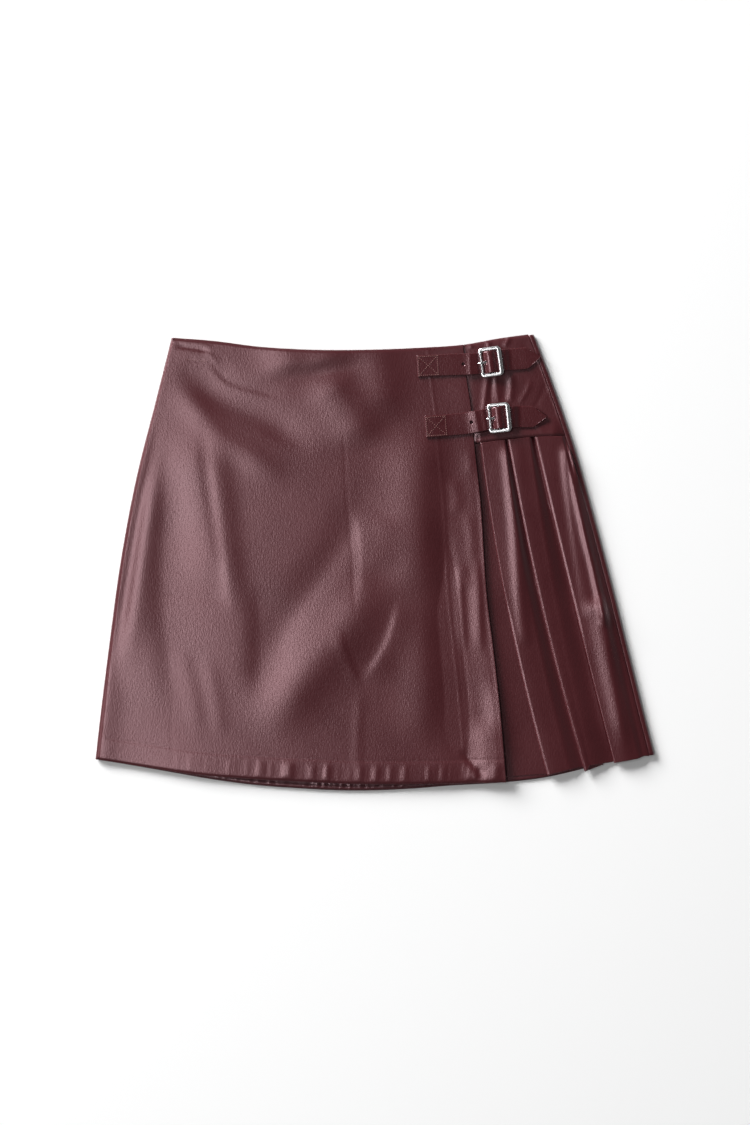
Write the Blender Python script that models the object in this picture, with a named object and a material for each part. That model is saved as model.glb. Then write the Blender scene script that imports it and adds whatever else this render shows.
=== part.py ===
"""Wrap-front mini skirt in coated leather, lying flat on its back panel.

The tables are in millimetres, seen from above: x to the right, y towards the waist,
z up from the surface. The solids are written in metres.
Build order: back panel, hip yoke, pleated panel, front wrap panel, then for each of
the two fastenings a tab, a centre-bar buckle, its prong and the strap through it.
"""
import math

import bpy
import numpy as np

for old in list(bpy.data.objects):
    bpy.data.objects.remove(old)

MM = 0.001

# ---- driving dimensions -------------------------------------------------------------
LEATHER = 1.2            # thickness of every leather layer
GAP = 0.3                # space between pieces that meet at a seam or lie on each other
SIDE_FOLD = 2.1          # outer radius of the folds at the two sides
SIDE_HEIGHT = 2 * SIDE_FOLD
SEAM_SET_IN = 4.85       # the right side seam lies this far in from the edge
TUCK = 0.8               # hidden layers stop this far short of the waist edge

# Outline, columns: y, x
LEFT_SIDE = (
    (217.8, -196.9), (157.6, -212.1), (80.0, -231.6), (2.4, -246.2),
    (-75.2, -256.9), (-145.0, -265.6), (-190.6, -270.8),
)
RIGHT_SIDE = (
    (221.6, 153.3), (173.1, 171.7), (111.1, 193.0), (49.0, 210.5),
    (-13.1, 227.0), (-90.7, 246.4), (-152.8, 261.9), (-186.1, 270.6),
)
WRAP_EDGE = (
    (211.0, 85.4), (181.4, 88.3), (147.4, 93.3), (109.1, 96.7), (65.5, 101.6),
    (-39.6, 109.1), (-86.6, 115.0), (-134.3, 120.3), (-212.9, 127.1),
)
# Outline, columns: x, y
WAIST = (
    (-196.9, 217.8), (-158.1, 214.9), (-111.5, 209.0), (-65.0, 206.1), (-18.4, 205.8),
    (43.6, 208.1), (85.4, 211.0), (121.2, 217.3), (153.3, 221.6),
)
FRONT_HEM = (
    (-270.8, -190.6), (-214.9, -199.5), (-167.3, -206.1), (-122.8, -209.6),
    (-71.8, -212.5), (-18.4, -214.6), (43.6, -214.8), (127.1, -212.9),
)
BACK_HEM = (
    (-270.8, -190.6), (-208.5, -201.3), (-160.0, -209.8), (-121.2, -215.2),
    (-72.8, -219.0), (-24.2, -221.1), (28.1, -219.7), (72.8, -216.3),
    (129.0, -212.8), (165.9, -208.2), (198.0, -200.9), (230.0, -192.5), (270.6, -186.1),
)
YOKE_SEAM = (
    (60.1, 113.0), (97.5, 115.5), (128.0, 119.4), (153.6, 121.7), (188.0, 122.8),
)

# The wrap's height over the layers under it, columns: y, lift along its free edge
WRAP_TOP = 4.2
WRAP_LIFT = (
    (211.0, 0.5), (192.0, 0.5), (165.0, 0.9), (136.0, 0.9), (113.0, 1.4),
    (50.0, 1.5), (-60.0, 1.7), (-150.0, 2.1), (-213.0, 2.3),
)
WRAP_LIFT_WIDTH = 20.0
HEM_LIFT = 1.2           # the hem stands up this much, over this depth
HEM_LIFT_DEPTH = 28.0
HEM_LIFT_FROM_LEFT = (30.0, 110.0)  # it grows over these distances from the left side
HEM_LIFT_ENDS = (60.0, 115.0)       # and dies out over these x
FOLD_FADE = 26.0         # the folds die out this close to the left side
FOLD_TAPER = 0.3         # share of a fold's length over which it grows and dies out
TROUGH_DEPTH = 1.3       # no fold lies deeper than this, and none where layers lie under
TROUGH_ENDS = (20.0, 60.0)

# Largest folds of the front wrap, columns: height, width on the right hand and on the
# left hand of the route, route as x, y points
FOLDS = (
    (2.1, 26, 14, ((12, 0), (-4, -30), (-28, -58), (-52, -86), (-74, -112), (-94, -142), (-116, -176))),
    (-0.8, 18, 14, ((-6, 80), (-22, 40), (-44, 2), (-70, -34), (-92, -70), (-104, -112))),
    (2.6, 31, 14, ((45, 150), (43, 100), (42, 60), (42, 10), (41, -25), (40, -60))),
    (1.1, 22, 13, ((41, -20), (44, -70), (48, -130), (42, -190))),
    (0.6, 24, 30, ((52, 205), (54, 160), (57, 110), (60, 80))),
    (1.3, 9, 18, ((-204, 160), (-216, 80), (-229, 0), (-240, -70), (-243, -110))),
    (-0.9, 15, 30, ((-200, 100), (-204, 0), (-198, -90), (-190, -170))),
    (1.3, 24, 12, ((-180, 145), (-175, 85), (-168, 40), (-161, 0), (-158, -36))),
    (1.0, 9, 13, ((-160, 140), (-153, 85), (-147, 40), (-142, 0), (-135, -60))),
    (-0.9, 13, 26, ((-112, -10), (-110, -60), (-110, -100), (-112, -138))),
    (-1.3, 14, 18, ((-190, 205), (-165, 170), (-140, 154), (-105, 138), (-52, 106))),
    (0.9, 14, 12, ((-194, 180), (-172, 148), (-150, 122), (-122, 104), (-80, 74))),
    (1.6, 26, 15, ((-54, 190), (-32, 160), (-14, 138), (-4, 105))),
    (1.6, 22, 20, ((-96, 240), (-88, 205), (-80, 178))),
    (2.3, 30, 28, ((-50, 240), (-44, 205), (-36, 176))),
    (1.3, 22, 18, ((-8, 240), (-4, 205), (0, 178))),
)

# Yoke: its top climbs from under the wrap to the side seam, and over the pleats'
# stack along their seam
YOKE_LOW = 2.7
YOKE_AT_WRAP = 3.5
YOKE_LEFT = 54.0
YOKE_LEFT_LEAN = 0.06
YOKE_TOP_Y = (212.0, 220.8)         # at the yoke's left and right ends
YOKE_SEAM_Y = 113.0
UNDER_WRAP = (76.0, 98.0)           # the yoke climbs over these x, first under the wrap
PAST_WRAP = (98.0, 165.0)           # and then up to the side seam
SEAM_RISE = 1.9                     # its lower edge rises on to the pleats' stack
SEAM_RISE_DEPTH = 20.0
ON_PLEATS = (95.0, 106.0)
OFF_PLEATS = (172.0, 184.0)
SEAM_STRIP = 4.0                    # width of the side seam's own layers in the yoke

# Knife pleats: three levels of mid-surface, folds with this mid radius
PLEAT_LEVELS = (2.1, 3.6, 5.1)
PLEAT_FOLD = 0.75
PLEAT_DEPTH_TOP = 14.5
PLEAT_DEPTH_HEM = 18.6
PLEAT_START = (60.1, 84.4)     # hidden end under the wrap: x at the seam, x at the hem
# Fold edges, columns: x at the seam, x at the hem, bow, hem y at the fold,
# hem y where the face runs under the next pleat, crest height at the hem, x where the
# face starts down at the seam and at the hem
PLEATS = (
    (101.8, 166.5, -6.3, -205.8, -197.9, 0.4, 122.5, 186.6),
    (128.0, 202.7, -4.8, -202.1, -193.1, 0.4, 147.0, 208.0),
    (154.2, 231.2, -1.5, -194.0, -187.3, 0.9, 178.0, 252.0),
)
FIRST_FACE_HEM = (-210.6, -199.6)   # hem y of the first face, at the left and run under
UNDER_STEP = 2.0                    # a layer's hem is this much higher inside a pleat
LAST_FACE = (183.3, 260.8, 1.6)     # the side seam: x at the yoke, x at the hem, bow

# Fastenings
STRAP_WIDTH = 21.2
STRAP_SHOULDER = 13.5    # length of the pointed end
HOLE_RADIUS = 1.6
BUCKLE_WIDTH = 22.1
BUCKLE_HEIGHT = 28.6
BAR_WIDTH = 4.0          # left and right bars
RAIL_WIDTH = 3.2         # top and bottom rails
FRAME_THICK = 1.9
FRAME_LEFT_Z = 2.75      # mid heights above the yoke of the left and right bars
FRAME_RIGHT_Z = 4.9
FRAME_CORNER = 2.2
CENTRE_BAR = 0.7         # radius
CENTRE_BAR_Z = 2.0
# The centre bar's bent end, columns: distance from the rail's middle, height over the
# bar's own, tilt in degrees
BAR_END = ((0.0, 0.7, 70), (0.8, 0.0, 30), (2.0, 0.0, 0))
TAB_THICK = 0.7
TAB_WIDTH = 15.0
TAB_LENGTH = 13.0
TAB_SLOT_PLAY = 0.5      # the slot is this much wider than the prong at each side
TAB_REST_AT = (9.0, 5.0, 2.2)       # points of its lower layer, from the centre bar
TAB_CLOSE = ((3.2, 0.05), (4.6, 0.05), (6.5, 0.0), (9.0, 0.0))
PRONG_WIDTH = 2.0
PRONG_RING = 1.3         # mid radius of its eye round the centre bar
PRONG_RING_HALF = 0.3    # half its thickness there
PRONG_NECK = 0.6         # its tip is this share of its width, past this place
PRONG_NECK_AT = -11.6
FACET_ALLOWANCE = 1.08   # an eight-sided ring is made this much larger
# The prong's tongue, columns: distance from the centre bar, height, half thickness
PRONG_TONGUE = (
    (-0.7, 3.3, 0.3), (-2.6, 3.3, 0.32), (-4.4, 3.65, 0.45), (-6.2, 4.2, 0.55),
    (-9.2, 4.6, 0.6), (-11.4, 4.55, 0.55), (-12.5, 4.4, 0.3),
)
PRONG_HOLE = 2.1         # half length of the prong's hole
TIP_SHARE = 0.06         # the strap's tip is this share of its width
BUCKLE_ZONE = (-12.0, 14.0)         # left reach and half height of what a buckle rests on
STRAP_STATIONS = (-22.0, -17.5, 27.0)   # stations that the strap has beside its weave's
PLAIN_END = 29.0         # up to here before the bar the strap lies plain
WEAVE_FROM = (-20.0, -13.0)         # it rises off the layers below it over these places
WEAVE_TO = (17.0, 22.0)             # and comes down again over these
STRAP_SAMPLE = 0.5
STRAP_BRIDGES = 14       # it lies over dips in the layers below that are this many samples
STRAP_EASES = 8          # to each side, and its bends are this many samples

# Height of the strap's underside over the yoke round the buckle,
# columns: distance from the centre bar, height
STRAP_WEAVE = (
    (-13.5, 0.7), (-11.0, 0.35), (-9.3, 0.3), (-7.8, 0.45), (-6.2, 1.75), (-4.4, 3.2),
    (-2.6, 4.05), (0.0, 4.3), (2.4, 3.9), (5.0, 2.7), (7.6, 2.35), (9.3, 2.3),
    (11.5, 2.3), (14.2, 2.25), (18.0, 0.9), (22.0, 0.3),
)

# Columns: name, buckle centre x, y, tilt in degrees, distance of the extra hole and
# of the prong's hole from the centre bar, centre line of the strap as x, y
FASTENINGS = (
    ("upper", 112.0, 194.0, 7.5, -26.6, -4.9, (
        (40.7, 189.7), (61.1, 190.9), (87.3, 191.8), (101.1, 192.6), (112.0, 194.0),
        (122.9, 195.5), (148.4, 197.9), (160.4, 199.8))),
    ("lower", 119.9, 139.8, 5.5, -27.0, -4.9, (
        (48.5, 131.1), (68.9, 132.7), (89.8, 134.8), (109.0, 138.4), (119.9, 139.8),
        (130.9, 140.7), (155.2, 141.0), (166.5, 141.3))),
)


# ---- curves and surfaces ------------------------------------------------------------
def smooth(table, s):
    """Second column of the table at s, along a smooth curve through its rows."""
    rows = sorted(table)
    xs = np.array([row[0] for row in rows], float)
    ys = np.array([row[1] for row in rows], float)
    chord = np.diff(ys) / np.diff(xs)
    slope = np.empty(len(xs))
    slope[0], slope[-1] = chord[0], chord[-1]
    steps = np.diff(xs)
    slope[1:-1] = (chord[:-1] * steps[1:] + chord[1:] * steps[:-1]) / (steps[1:] + steps[:-1])
    s = np.asarray(s, float)
    held = np.clip(s, xs[0], xs[-1])
    k = np.clip(np.searchsorted(xs, held, side="right") - 1, 0, len(xs) - 2)
    step = xs[k + 1] - xs[k]
    t = (held - xs[k]) / step
    value = ((1 + 2 * t) * (1 - t) ** 2 * ys[k] + t * (1 - t) ** 2 * step * slope[k]
             + t * t * (3 - 2 * t) * ys[k + 1] - t * t * (1 - t) * step * slope[k + 1])
    past = s - held
    return value + past * np.where(past < 0, slope[0], slope[-1])


def step_up(low, high, s):
    """0 below low, 1 above high, smooth between."""
    t = np.clip((s - low) / (high - low), 0.0, 1.0)
    return t * t * (3 - 2 * t)


def fold_rise(x, y, fold):
    """Height that a soft fold adds at x, y; it dies out at its route's ends."""
    height, right_width, left_width, route = fold
    nearest = np.full(np.shape(x), np.inf)
    side = np.zeros(np.shape(x))
    along = np.zeros(np.shape(x))
    for k, ((x0, y0), (x1, y1)) in enumerate(zip(route, route[1:])):
        run_x, run_y = x1 - x0, y1 - y0
        t = np.clip(((x - x0) * run_x + (y - y0) * run_y) / (run_x ** 2 + run_y ** 2), 0.0, 1.0)
        away = np.hypot(x - x0 - t * run_x, y - y0 - t * run_y)
        closer = away < nearest
        nearest = np.where(closer, away, nearest)
        side = np.where(closer, run_x * (y - y0) - run_y * (x - x0), side)
        along = np.where(closer, (k + t) / (len(route) - 1), along)
    width = np.where(side > 0, left_width, right_width)
    ends = step_up(0.0, FOLD_TAPER, along) * (1 - step_up(1.0 - FOLD_TAPER, 1.0, along))
    return height * ends * np.exp(-(nearest / width) ** 2)


def side_seam(y):
    return smooth(RIGHT_SIDE, y) - SEAM_SET_IN


def yoke_top(x, y):
    """Height of the yoke's outer face."""
    climb = (YOKE_LOW + (YOKE_AT_WRAP - YOKE_LOW) * step_up(*UNDER_WRAP, x)
             + (SIDE_HEIGHT - YOKE_AT_WRAP) * step_up(*PAST_WRAP, x))
    over_pleats = step_up(*ON_PLEATS, x) * (1 - step_up(*OFF_PLEATS, x))
    above_seam = y - smooth(YOKE_SEAM, x)
    return climb + SEAM_RISE * over_pleats * (1 - step_up(0.0, SEAM_RISE_DEPTH, above_seam))


def wrap_top(x, y):
    """Height of the front wrap's outer face, with its folds and its lifted edges."""
    edge = smooth(WRAP_EDGE, y) - x
    lift = smooth(WRAP_LIFT, y) * np.exp(-(np.maximum(edge, 0.0) / WRAP_LIFT_WIDTH) ** 2)
    from_left = x - smooth(LEFT_SIDE, y)
    above_hem = y - smooth(FRONT_HEM, x)
    lift += (HEM_LIFT * np.exp(-(above_hem / HEM_LIFT_DEPTH) ** 2)
             * step_up(*HEM_LIFT_FROM_LEFT, from_left) * (1 - step_up(*HEM_LIFT_ENDS, x)))
    folds = sum(fold_rise(x, y, fold) for fold in FOLDS) * step_up(0.0, FOLD_FADE, from_left)
    lowest = WRAP_TOP - TROUGH_DEPTH * (1 - step_up(*TROUGH_ENDS, x))
    return np.maximum(WRAP_TOP + lift + folds, lowest)


def panel_plan(left, right, top, hem, u, v):
    """Plan position at u across and v down a panel between its four edges.

    left and right come from panel_side; top and hem give y from x.
    """
    (left_x, top_y0, hem_y0), (right_x, top_y1, hem_y1) = left[1], right[1]
    x_top = left_x[0] + u * (right_x[0] - left_x[0])
    x_hem = left_x[1] + u * (right_x[1] - left_x[1])
    y = top(x_top) + v * (hem(x_hem) - top(x_top))
    bow_left = left[0](top_y0 + v * (hem_y0 - top_y0)) - (left_x[0] + v * (left_x[1] - left_x[0]))
    bow_right = right[0](top_y1 + v * (hem_y1 - top_y1)) - (right_x[0] + v * (right_x[1] - right_x[0]))
    x = x_top + v * (x_hem - x_top) + (1 - u) * bow_left + u * bow_right
    return x, y


def panel_side(edge, y_top, y_hem):
    """A panel's left or right edge: x from y, then x and y at its two ends."""
    return edge, ((float(edge(y_top)), float(edge(y_hem))), y_top, y_hem)


# ---- solids -------------------------------------------------------------------------
def material(name, colour, roughness, metallic=0.0):
    """A plain Principled BSDF of one colour."""
    made = bpy.data.materials.new(name)
    made.use_nodes = True
    shader = made.node_tree.nodes["Principled BSDF"]
    shader.inputs["Base Color"].default_value = (*colour, 1.0)
    shader.inputs["Roughness"].default_value = roughness
    shader.inputs["Metallic"].default_value = metallic
    made.diffuse_color = (*colour, 1.0)
    return made


def solid(name, points, faces, finish):
    """An object from points in millimetres and faces that point outwards."""
    mesh = bpy.data.meshes.new(name)
    mesh.from_pydata([tuple(float(c) * MM for c in point) for point in points], [], faces)
    mesh.validate()
    mesh.shade_smooth()
    mesh.set_sharp_from_angle(angle=math.radians(40))
    mesh.materials.append(finish)
    made = bpy.data.objects.new(name, mesh)
    bpy.context.scene.collection.objects.link(made)
    return made


def grid_normals(grid):
    """Unit normals of a grid [across][down] of points, on its outer side."""
    across = np.gradient(grid, axis=0)
    down = np.gradient(grid, axis=1)
    normal = np.cross(down, across)
    return normal / np.linalg.norm(normal, axis=2, keepdims=True)


def wall(name, outer, thickness, finish, holes=(), normals=None):
    """A closed wall: outer points [across][down], and inner ones a thickness behind.

    holes lists the cells (across, down) that are cut through.
    """
    if normals is None:
        normals = grid_normals(outer)
    inner = outer - normals * thickness
    columns, rows = outer.shape[:2]
    points = np.concatenate([outer.reshape(-1, 3), inner.reshape(-1, 3)])
    behind = columns * rows
    faces = []
    edges = set()
    for i in range(columns - 1):
        for j in range(rows - 1):
            if (i, j) in holes:
                continue
            a, b = i * rows + j, i * rows + j + 1
            c, d = b + rows, a + rows
            faces.append((a, b, c, d))
            faces.append((d + behind, c + behind, b + behind, a + behind))
            edges.update(((a, b), (b, c), (c, d), (d, a)))
    for a, b in sorted(edges):
        if (b, a) not in edges:
            faces.append((b, a, a + behind, b + behind))
    used = sorted({index for face in faces for index in face})
    renumber = {index: place for place, index in enumerate(used)}
    faces = [tuple(renumber[index] for index in face) for face in faces]
    return solid(name, points[used], faces, finish)


def loop_tube(name, sections, finish, closed=True):
    """A tube through a row of sections, each a ring of points; capped if not closed."""
    count, ring = len(sections), len(sections[0])
    points = np.concatenate(sections)
    faces = []
    for i in range(count if closed else count - 1):
        k = (i + 1) % count
        for j in range(ring):
            m = (j + 1) % ring
            faces.append((i * ring + j, k * ring + j, k * ring + m, i * ring + m))
    if not closed:
        faces.append(tuple(range(ring)))
        faces.append(tuple(reversed(range((count - 1) * ring, count * ring))))
    return solid(name, points, faces, finish)


def ellipse_ring(centre, side, up, half_side, half_up, count=8):
    """A ring of points round centre in the plane of side and up."""
    ring = []
    for k in range(count):
        angle = 2 * math.pi * (k + 0.5) / count
        ring.append(centre + side * (half_side * math.cos(angle)) + up * (half_up * math.sin(angle)))
    return np.array(ring)


leather = material("burgundy_leather", (0.085, 0.020, 0.028), 0.42)
metal = material("polished_steel", (0.75, 0.75, 0.76), 0.16, 1.0)


def side_fold_angles():
    """Angles of a left side fold's stations, after one past the seam for its normals."""
    seam_angle = math.asin(GAP / 2 / SIDE_FOLD)
    angles = np.linspace(seam_angle, math.pi / 2, 4)
    return [2 * angles[0] - angles[1], *angles]


# ---- back panel: flat underside, folded up at the left, round to the seam at the right
def build_back():
    def waist(x):
        return smooth(WAIST, x) - TUCK

    left = panel_side(lambda y: smooth(LEFT_SIDE, y), LEFT_SIDE[0][0], LEFT_SIDE[-1][0])
    right = panel_side(lambda y: smooth(RIGHT_SIDE, y), RIGHT_SIDE[0][0], RIGHT_SIDE[-1][0])
    stations = []
    for angle in side_fold_angles():
        stations.append((0.0, SIDE_FOLD * (1 - math.cos(angle)), SIDE_FOLD * (1 - math.sin(angle))))
    for u in np.linspace(0.0, 1.0, 15)[1:-1]:
        stations.append((u, 0.0, 0.0))
    for angle in np.linspace(-math.pi / 2, math.pi / 2, 7):
        stations.append((1.0, -SIDE_FOLD * (1 - math.cos(angle)), SIDE_FOLD * (1 + math.sin(angle))))
    stations.append((1.0, -SEAM_SET_IN, SIDE_HEIGHT))
    outer = []
    for u, shift, z in reversed(stations):
        column = []
        for v in np.linspace(0.0, 1.0, 15):
            x_left, _ = panel_plan(left, right, waist, lambda x: smooth(BACK_HEM, x), 0.0, v)
            x_right, _ = panel_plan(left, right, waist, lambda x: smooth(BACK_HEM, x), 1.0, v)
            across = u + shift / (x_right - x_left)
            x, y = panel_plan(left, right, waist, lambda x: smooth(BACK_HEM, x), across, v)
            if u in (0.0, 1.0):
                x = float(smooth(RIGHT_SIDE if u else LEFT_SIDE, y)) + shift
            column.append((x, y, z))
        outer.append(column)
    outer = np.array(outer)
    normals = grid_normals(outer)
    return wall("back_panel", outer[:-1], LEATHER, leather, normals=normals[:-1])


# ---- front wrap panel: folded down at the left side, free at its wrap edge
def build_front():
    def waist(x):
        return smooth(WAIST, x)

    def hem(x):
        return smooth(FRONT_HEM, x)

    left = panel_side(lambda y: smooth(LEFT_SIDE, y), LEFT_SIDE[0][0], LEFT_SIDE[-1][0])
    right = panel_side(lambda y: smooth(WRAP_EDGE, y), WRAP_EDGE[0][0], WRAP_EDGE[-1][0])
    stations = []
    for angle in side_fold_angles():
        stations.append((0.0, SIDE_FOLD * (1 - math.cos(angle)), SIDE_FOLD * (1 + math.sin(angle))))
    for u in np.linspace(0.0, 1.0, 35)[1:]:
        stations.append((u, 0.0, None))
    outer = []
    for u, shift, z in stations:
        column = []
        for v in np.linspace(0.0, 1.0, 31):
            x_left, _ = panel_plan(left, right, waist, hem, 0.0, v)
            x_right, _ = panel_plan(left, right, waist, hem, 1.0, v)
            x, y = panel_plan(left, right, waist, hem, u + shift / (x_right - x_left), v)
            if u == 0.0:
                x = float(smooth(LEFT_SIDE, y)) + shift
            column.append((x, y, float(wrap_top(x, y)) if z is None else z))
        outer.append(column)
    outer = np.array(outer)
    normals = grid_normals(outer)
    return wall("front_wrap_panel", outer[1:], LEATHER, leather, normals=normals[1:])


# ---- hip yoke: from under the wrap to the side seam, down to the pleats' seam
def build_yoke():
    def waist(x):
        return smooth(WAIST, x) - TUCK * (1 - step_up(82.0, 88.0, x))

    def seam(x):
        return smooth(YOKE_SEAM, x) + GAP / 2

    def seam_edge(y):
        return side_seam(y) - GAP

    def left_edge(y):
        return YOKE_LEFT + (YOKE_TOP_Y[0] - y) * YOKE_LEFT_LEAN

    left = panel_side(left_edge, YOKE_TOP_Y[0], YOKE_SEAM_Y)
    right = panel_side(seam_edge, YOKE_TOP_Y[1], float(smooth(YOKE_SEAM, LAST_FACE[0])))
    outer = []
    for u in np.linspace(0.0, 1.0, 20):
        column = []
        for v in np.linspace(0.0, 1.0, 12):
            x, y = panel_plan(left, right, waist, seam, u, v)
            column.append((x, y, float(yoke_top(x, y))))
        outer.append(column)
    return wall("hip_yoke", np.array(outer), LEATHER, leather)


# ---- pleated panel: one cloth, run back and forth through three knife pleats
def pleat_stations():
    """Stations along the cloth's mid-surface, left to right through the pleats.

    Each is x at the seam, x at the hem, bow, y at the hem, z, and the crest's rise.
    """
    low, middle, high = PLEAT_LEVELS
    inset = PLEAT_FOLD + LEATHER / 2
    stations = []

    def face(start, end, count, crest=0.0, joined=True):
        for t in np.linspace(0.0, 1.0, count)[int(joined):]:
            place = [a + t * (b - a) for a, b in zip(start, end)]
            place[4] = start[4] + (end[4] - start[4]) * float(step_up(0.0, 1.0, t))
            stations.append((*place, crest * math.sin(math.pi * t)))

    def fold(place, towards, z):
        for angle in np.linspace(-math.pi / 2, math.pi / 2, 5)[1:-1]:
            out = towards * PLEAT_FOLD * math.cos(angle)
            stations.append((place[0] + out, place[1] + out, place[2], place[3],
                             z + PLEAT_FOLD * math.sin(angle), 0.0))

    start = (*PLEAT_START, 0.0, FIRST_FACE_HEM[0])
    face((*start, low), (*start, low), 1, joined=False)
    place = (*start, low)
    under_y = FIRST_FACE_HEM[1]
    for pleat, after in zip(PLEATS, PLEATS[1:] + (None,)):
        x, hem_x, bow, hem_y, next_under_y, crest, drop_x, drop_hem_x = pleat
        deep = (x + PLEAT_DEPTH_TOP - inset, hem_x + PLEAT_DEPTH_HEM - inset, bow, under_y)
        edge = (x + inset, hem_x + inset, bow, hem_y)
        face(place, (*deep, low), 4)
        fold(deep, 1, (low + middle) / 2)
        face((*deep, middle), (*edge, middle), 4, joined=False)
        fold(edge, -1, (middle + high) / 2)
        drop = (drop_x, drop_hem_x, bow, hem_y + 0.6 * (next_under_y - hem_y), high)
        face((*edge, high), drop, 4 if after else 6, crest, joined=False)
        if after:
            place = (after[0] - LEATHER / 2, after[1] - LEATHER / 2, after[2], next_under_y, low)
            under_y = next_under_y + UNDER_STEP
        else:
            place = (LAST_FACE[0], LAST_FACE[1], LAST_FACE[2], next_under_y,
                     SIDE_HEIGHT - LEATHER / 2)
        face(drop, place, 5 if after else 6)
    return stations


def build_pleats():
    outer = []
    rows = np.linspace(0.0, 1.0, 11)
    stations = pleat_stations()
    for place, (x_top, x_hem, bow, y_hem, z, crest) in enumerate(stations):
        y_top = float(smooth(YOKE_SEAM, x_top)) - GAP / 2
        column = []
        for v in rows:
            y = y_top + v * (y_hem - y_top)
            x = x_top + v * (x_hem - x_top) + bow * 4 * v * (1 - v)
            if place == len(stations) - 1:
                x = float(side_seam(y)) - GAP
            column.append((x, y, z + crest * v))
        outer.append(column)
    middle = np.array(outer)
    normals = grid_normals(middle)
    return wall("pleated_panel", middle + normals * LEATHER / 2, LEATHER, leather, normals=normals)


# ---- fastenings ---------------------------------------------------------------------
def layers_top(x, y):
    """Height of what a strap lies on: the front wrap, the yoke or the side seam."""
    on_wrap = np.where(x < smooth(WRAP_EDGE, y) + 0.5, wrap_top(x, y), 0.0)
    on_yoke = yoke_top(x, y)
    on_side = np.where(x > side_seam(y) - SEAM_STRIP, SIDE_HEIGHT, 0.0)
    return np.maximum(np.maximum(on_wrap, on_yoke), on_side)


def strap_line(route):
    """Lengths and smooth x and y tables along a strap's centre line."""
    lengths = [0.0]
    for (x0, y0), (x1, y1) in zip(route, route[1:]):
        lengths.append(lengths[-1] + math.hypot(x1 - x0, y1 - y0))
    return (lengths, [(s, x) for s, (x, _) in zip(lengths, route)],
            [(s, y) for s, (_, y) in zip(lengths, route)])


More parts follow.
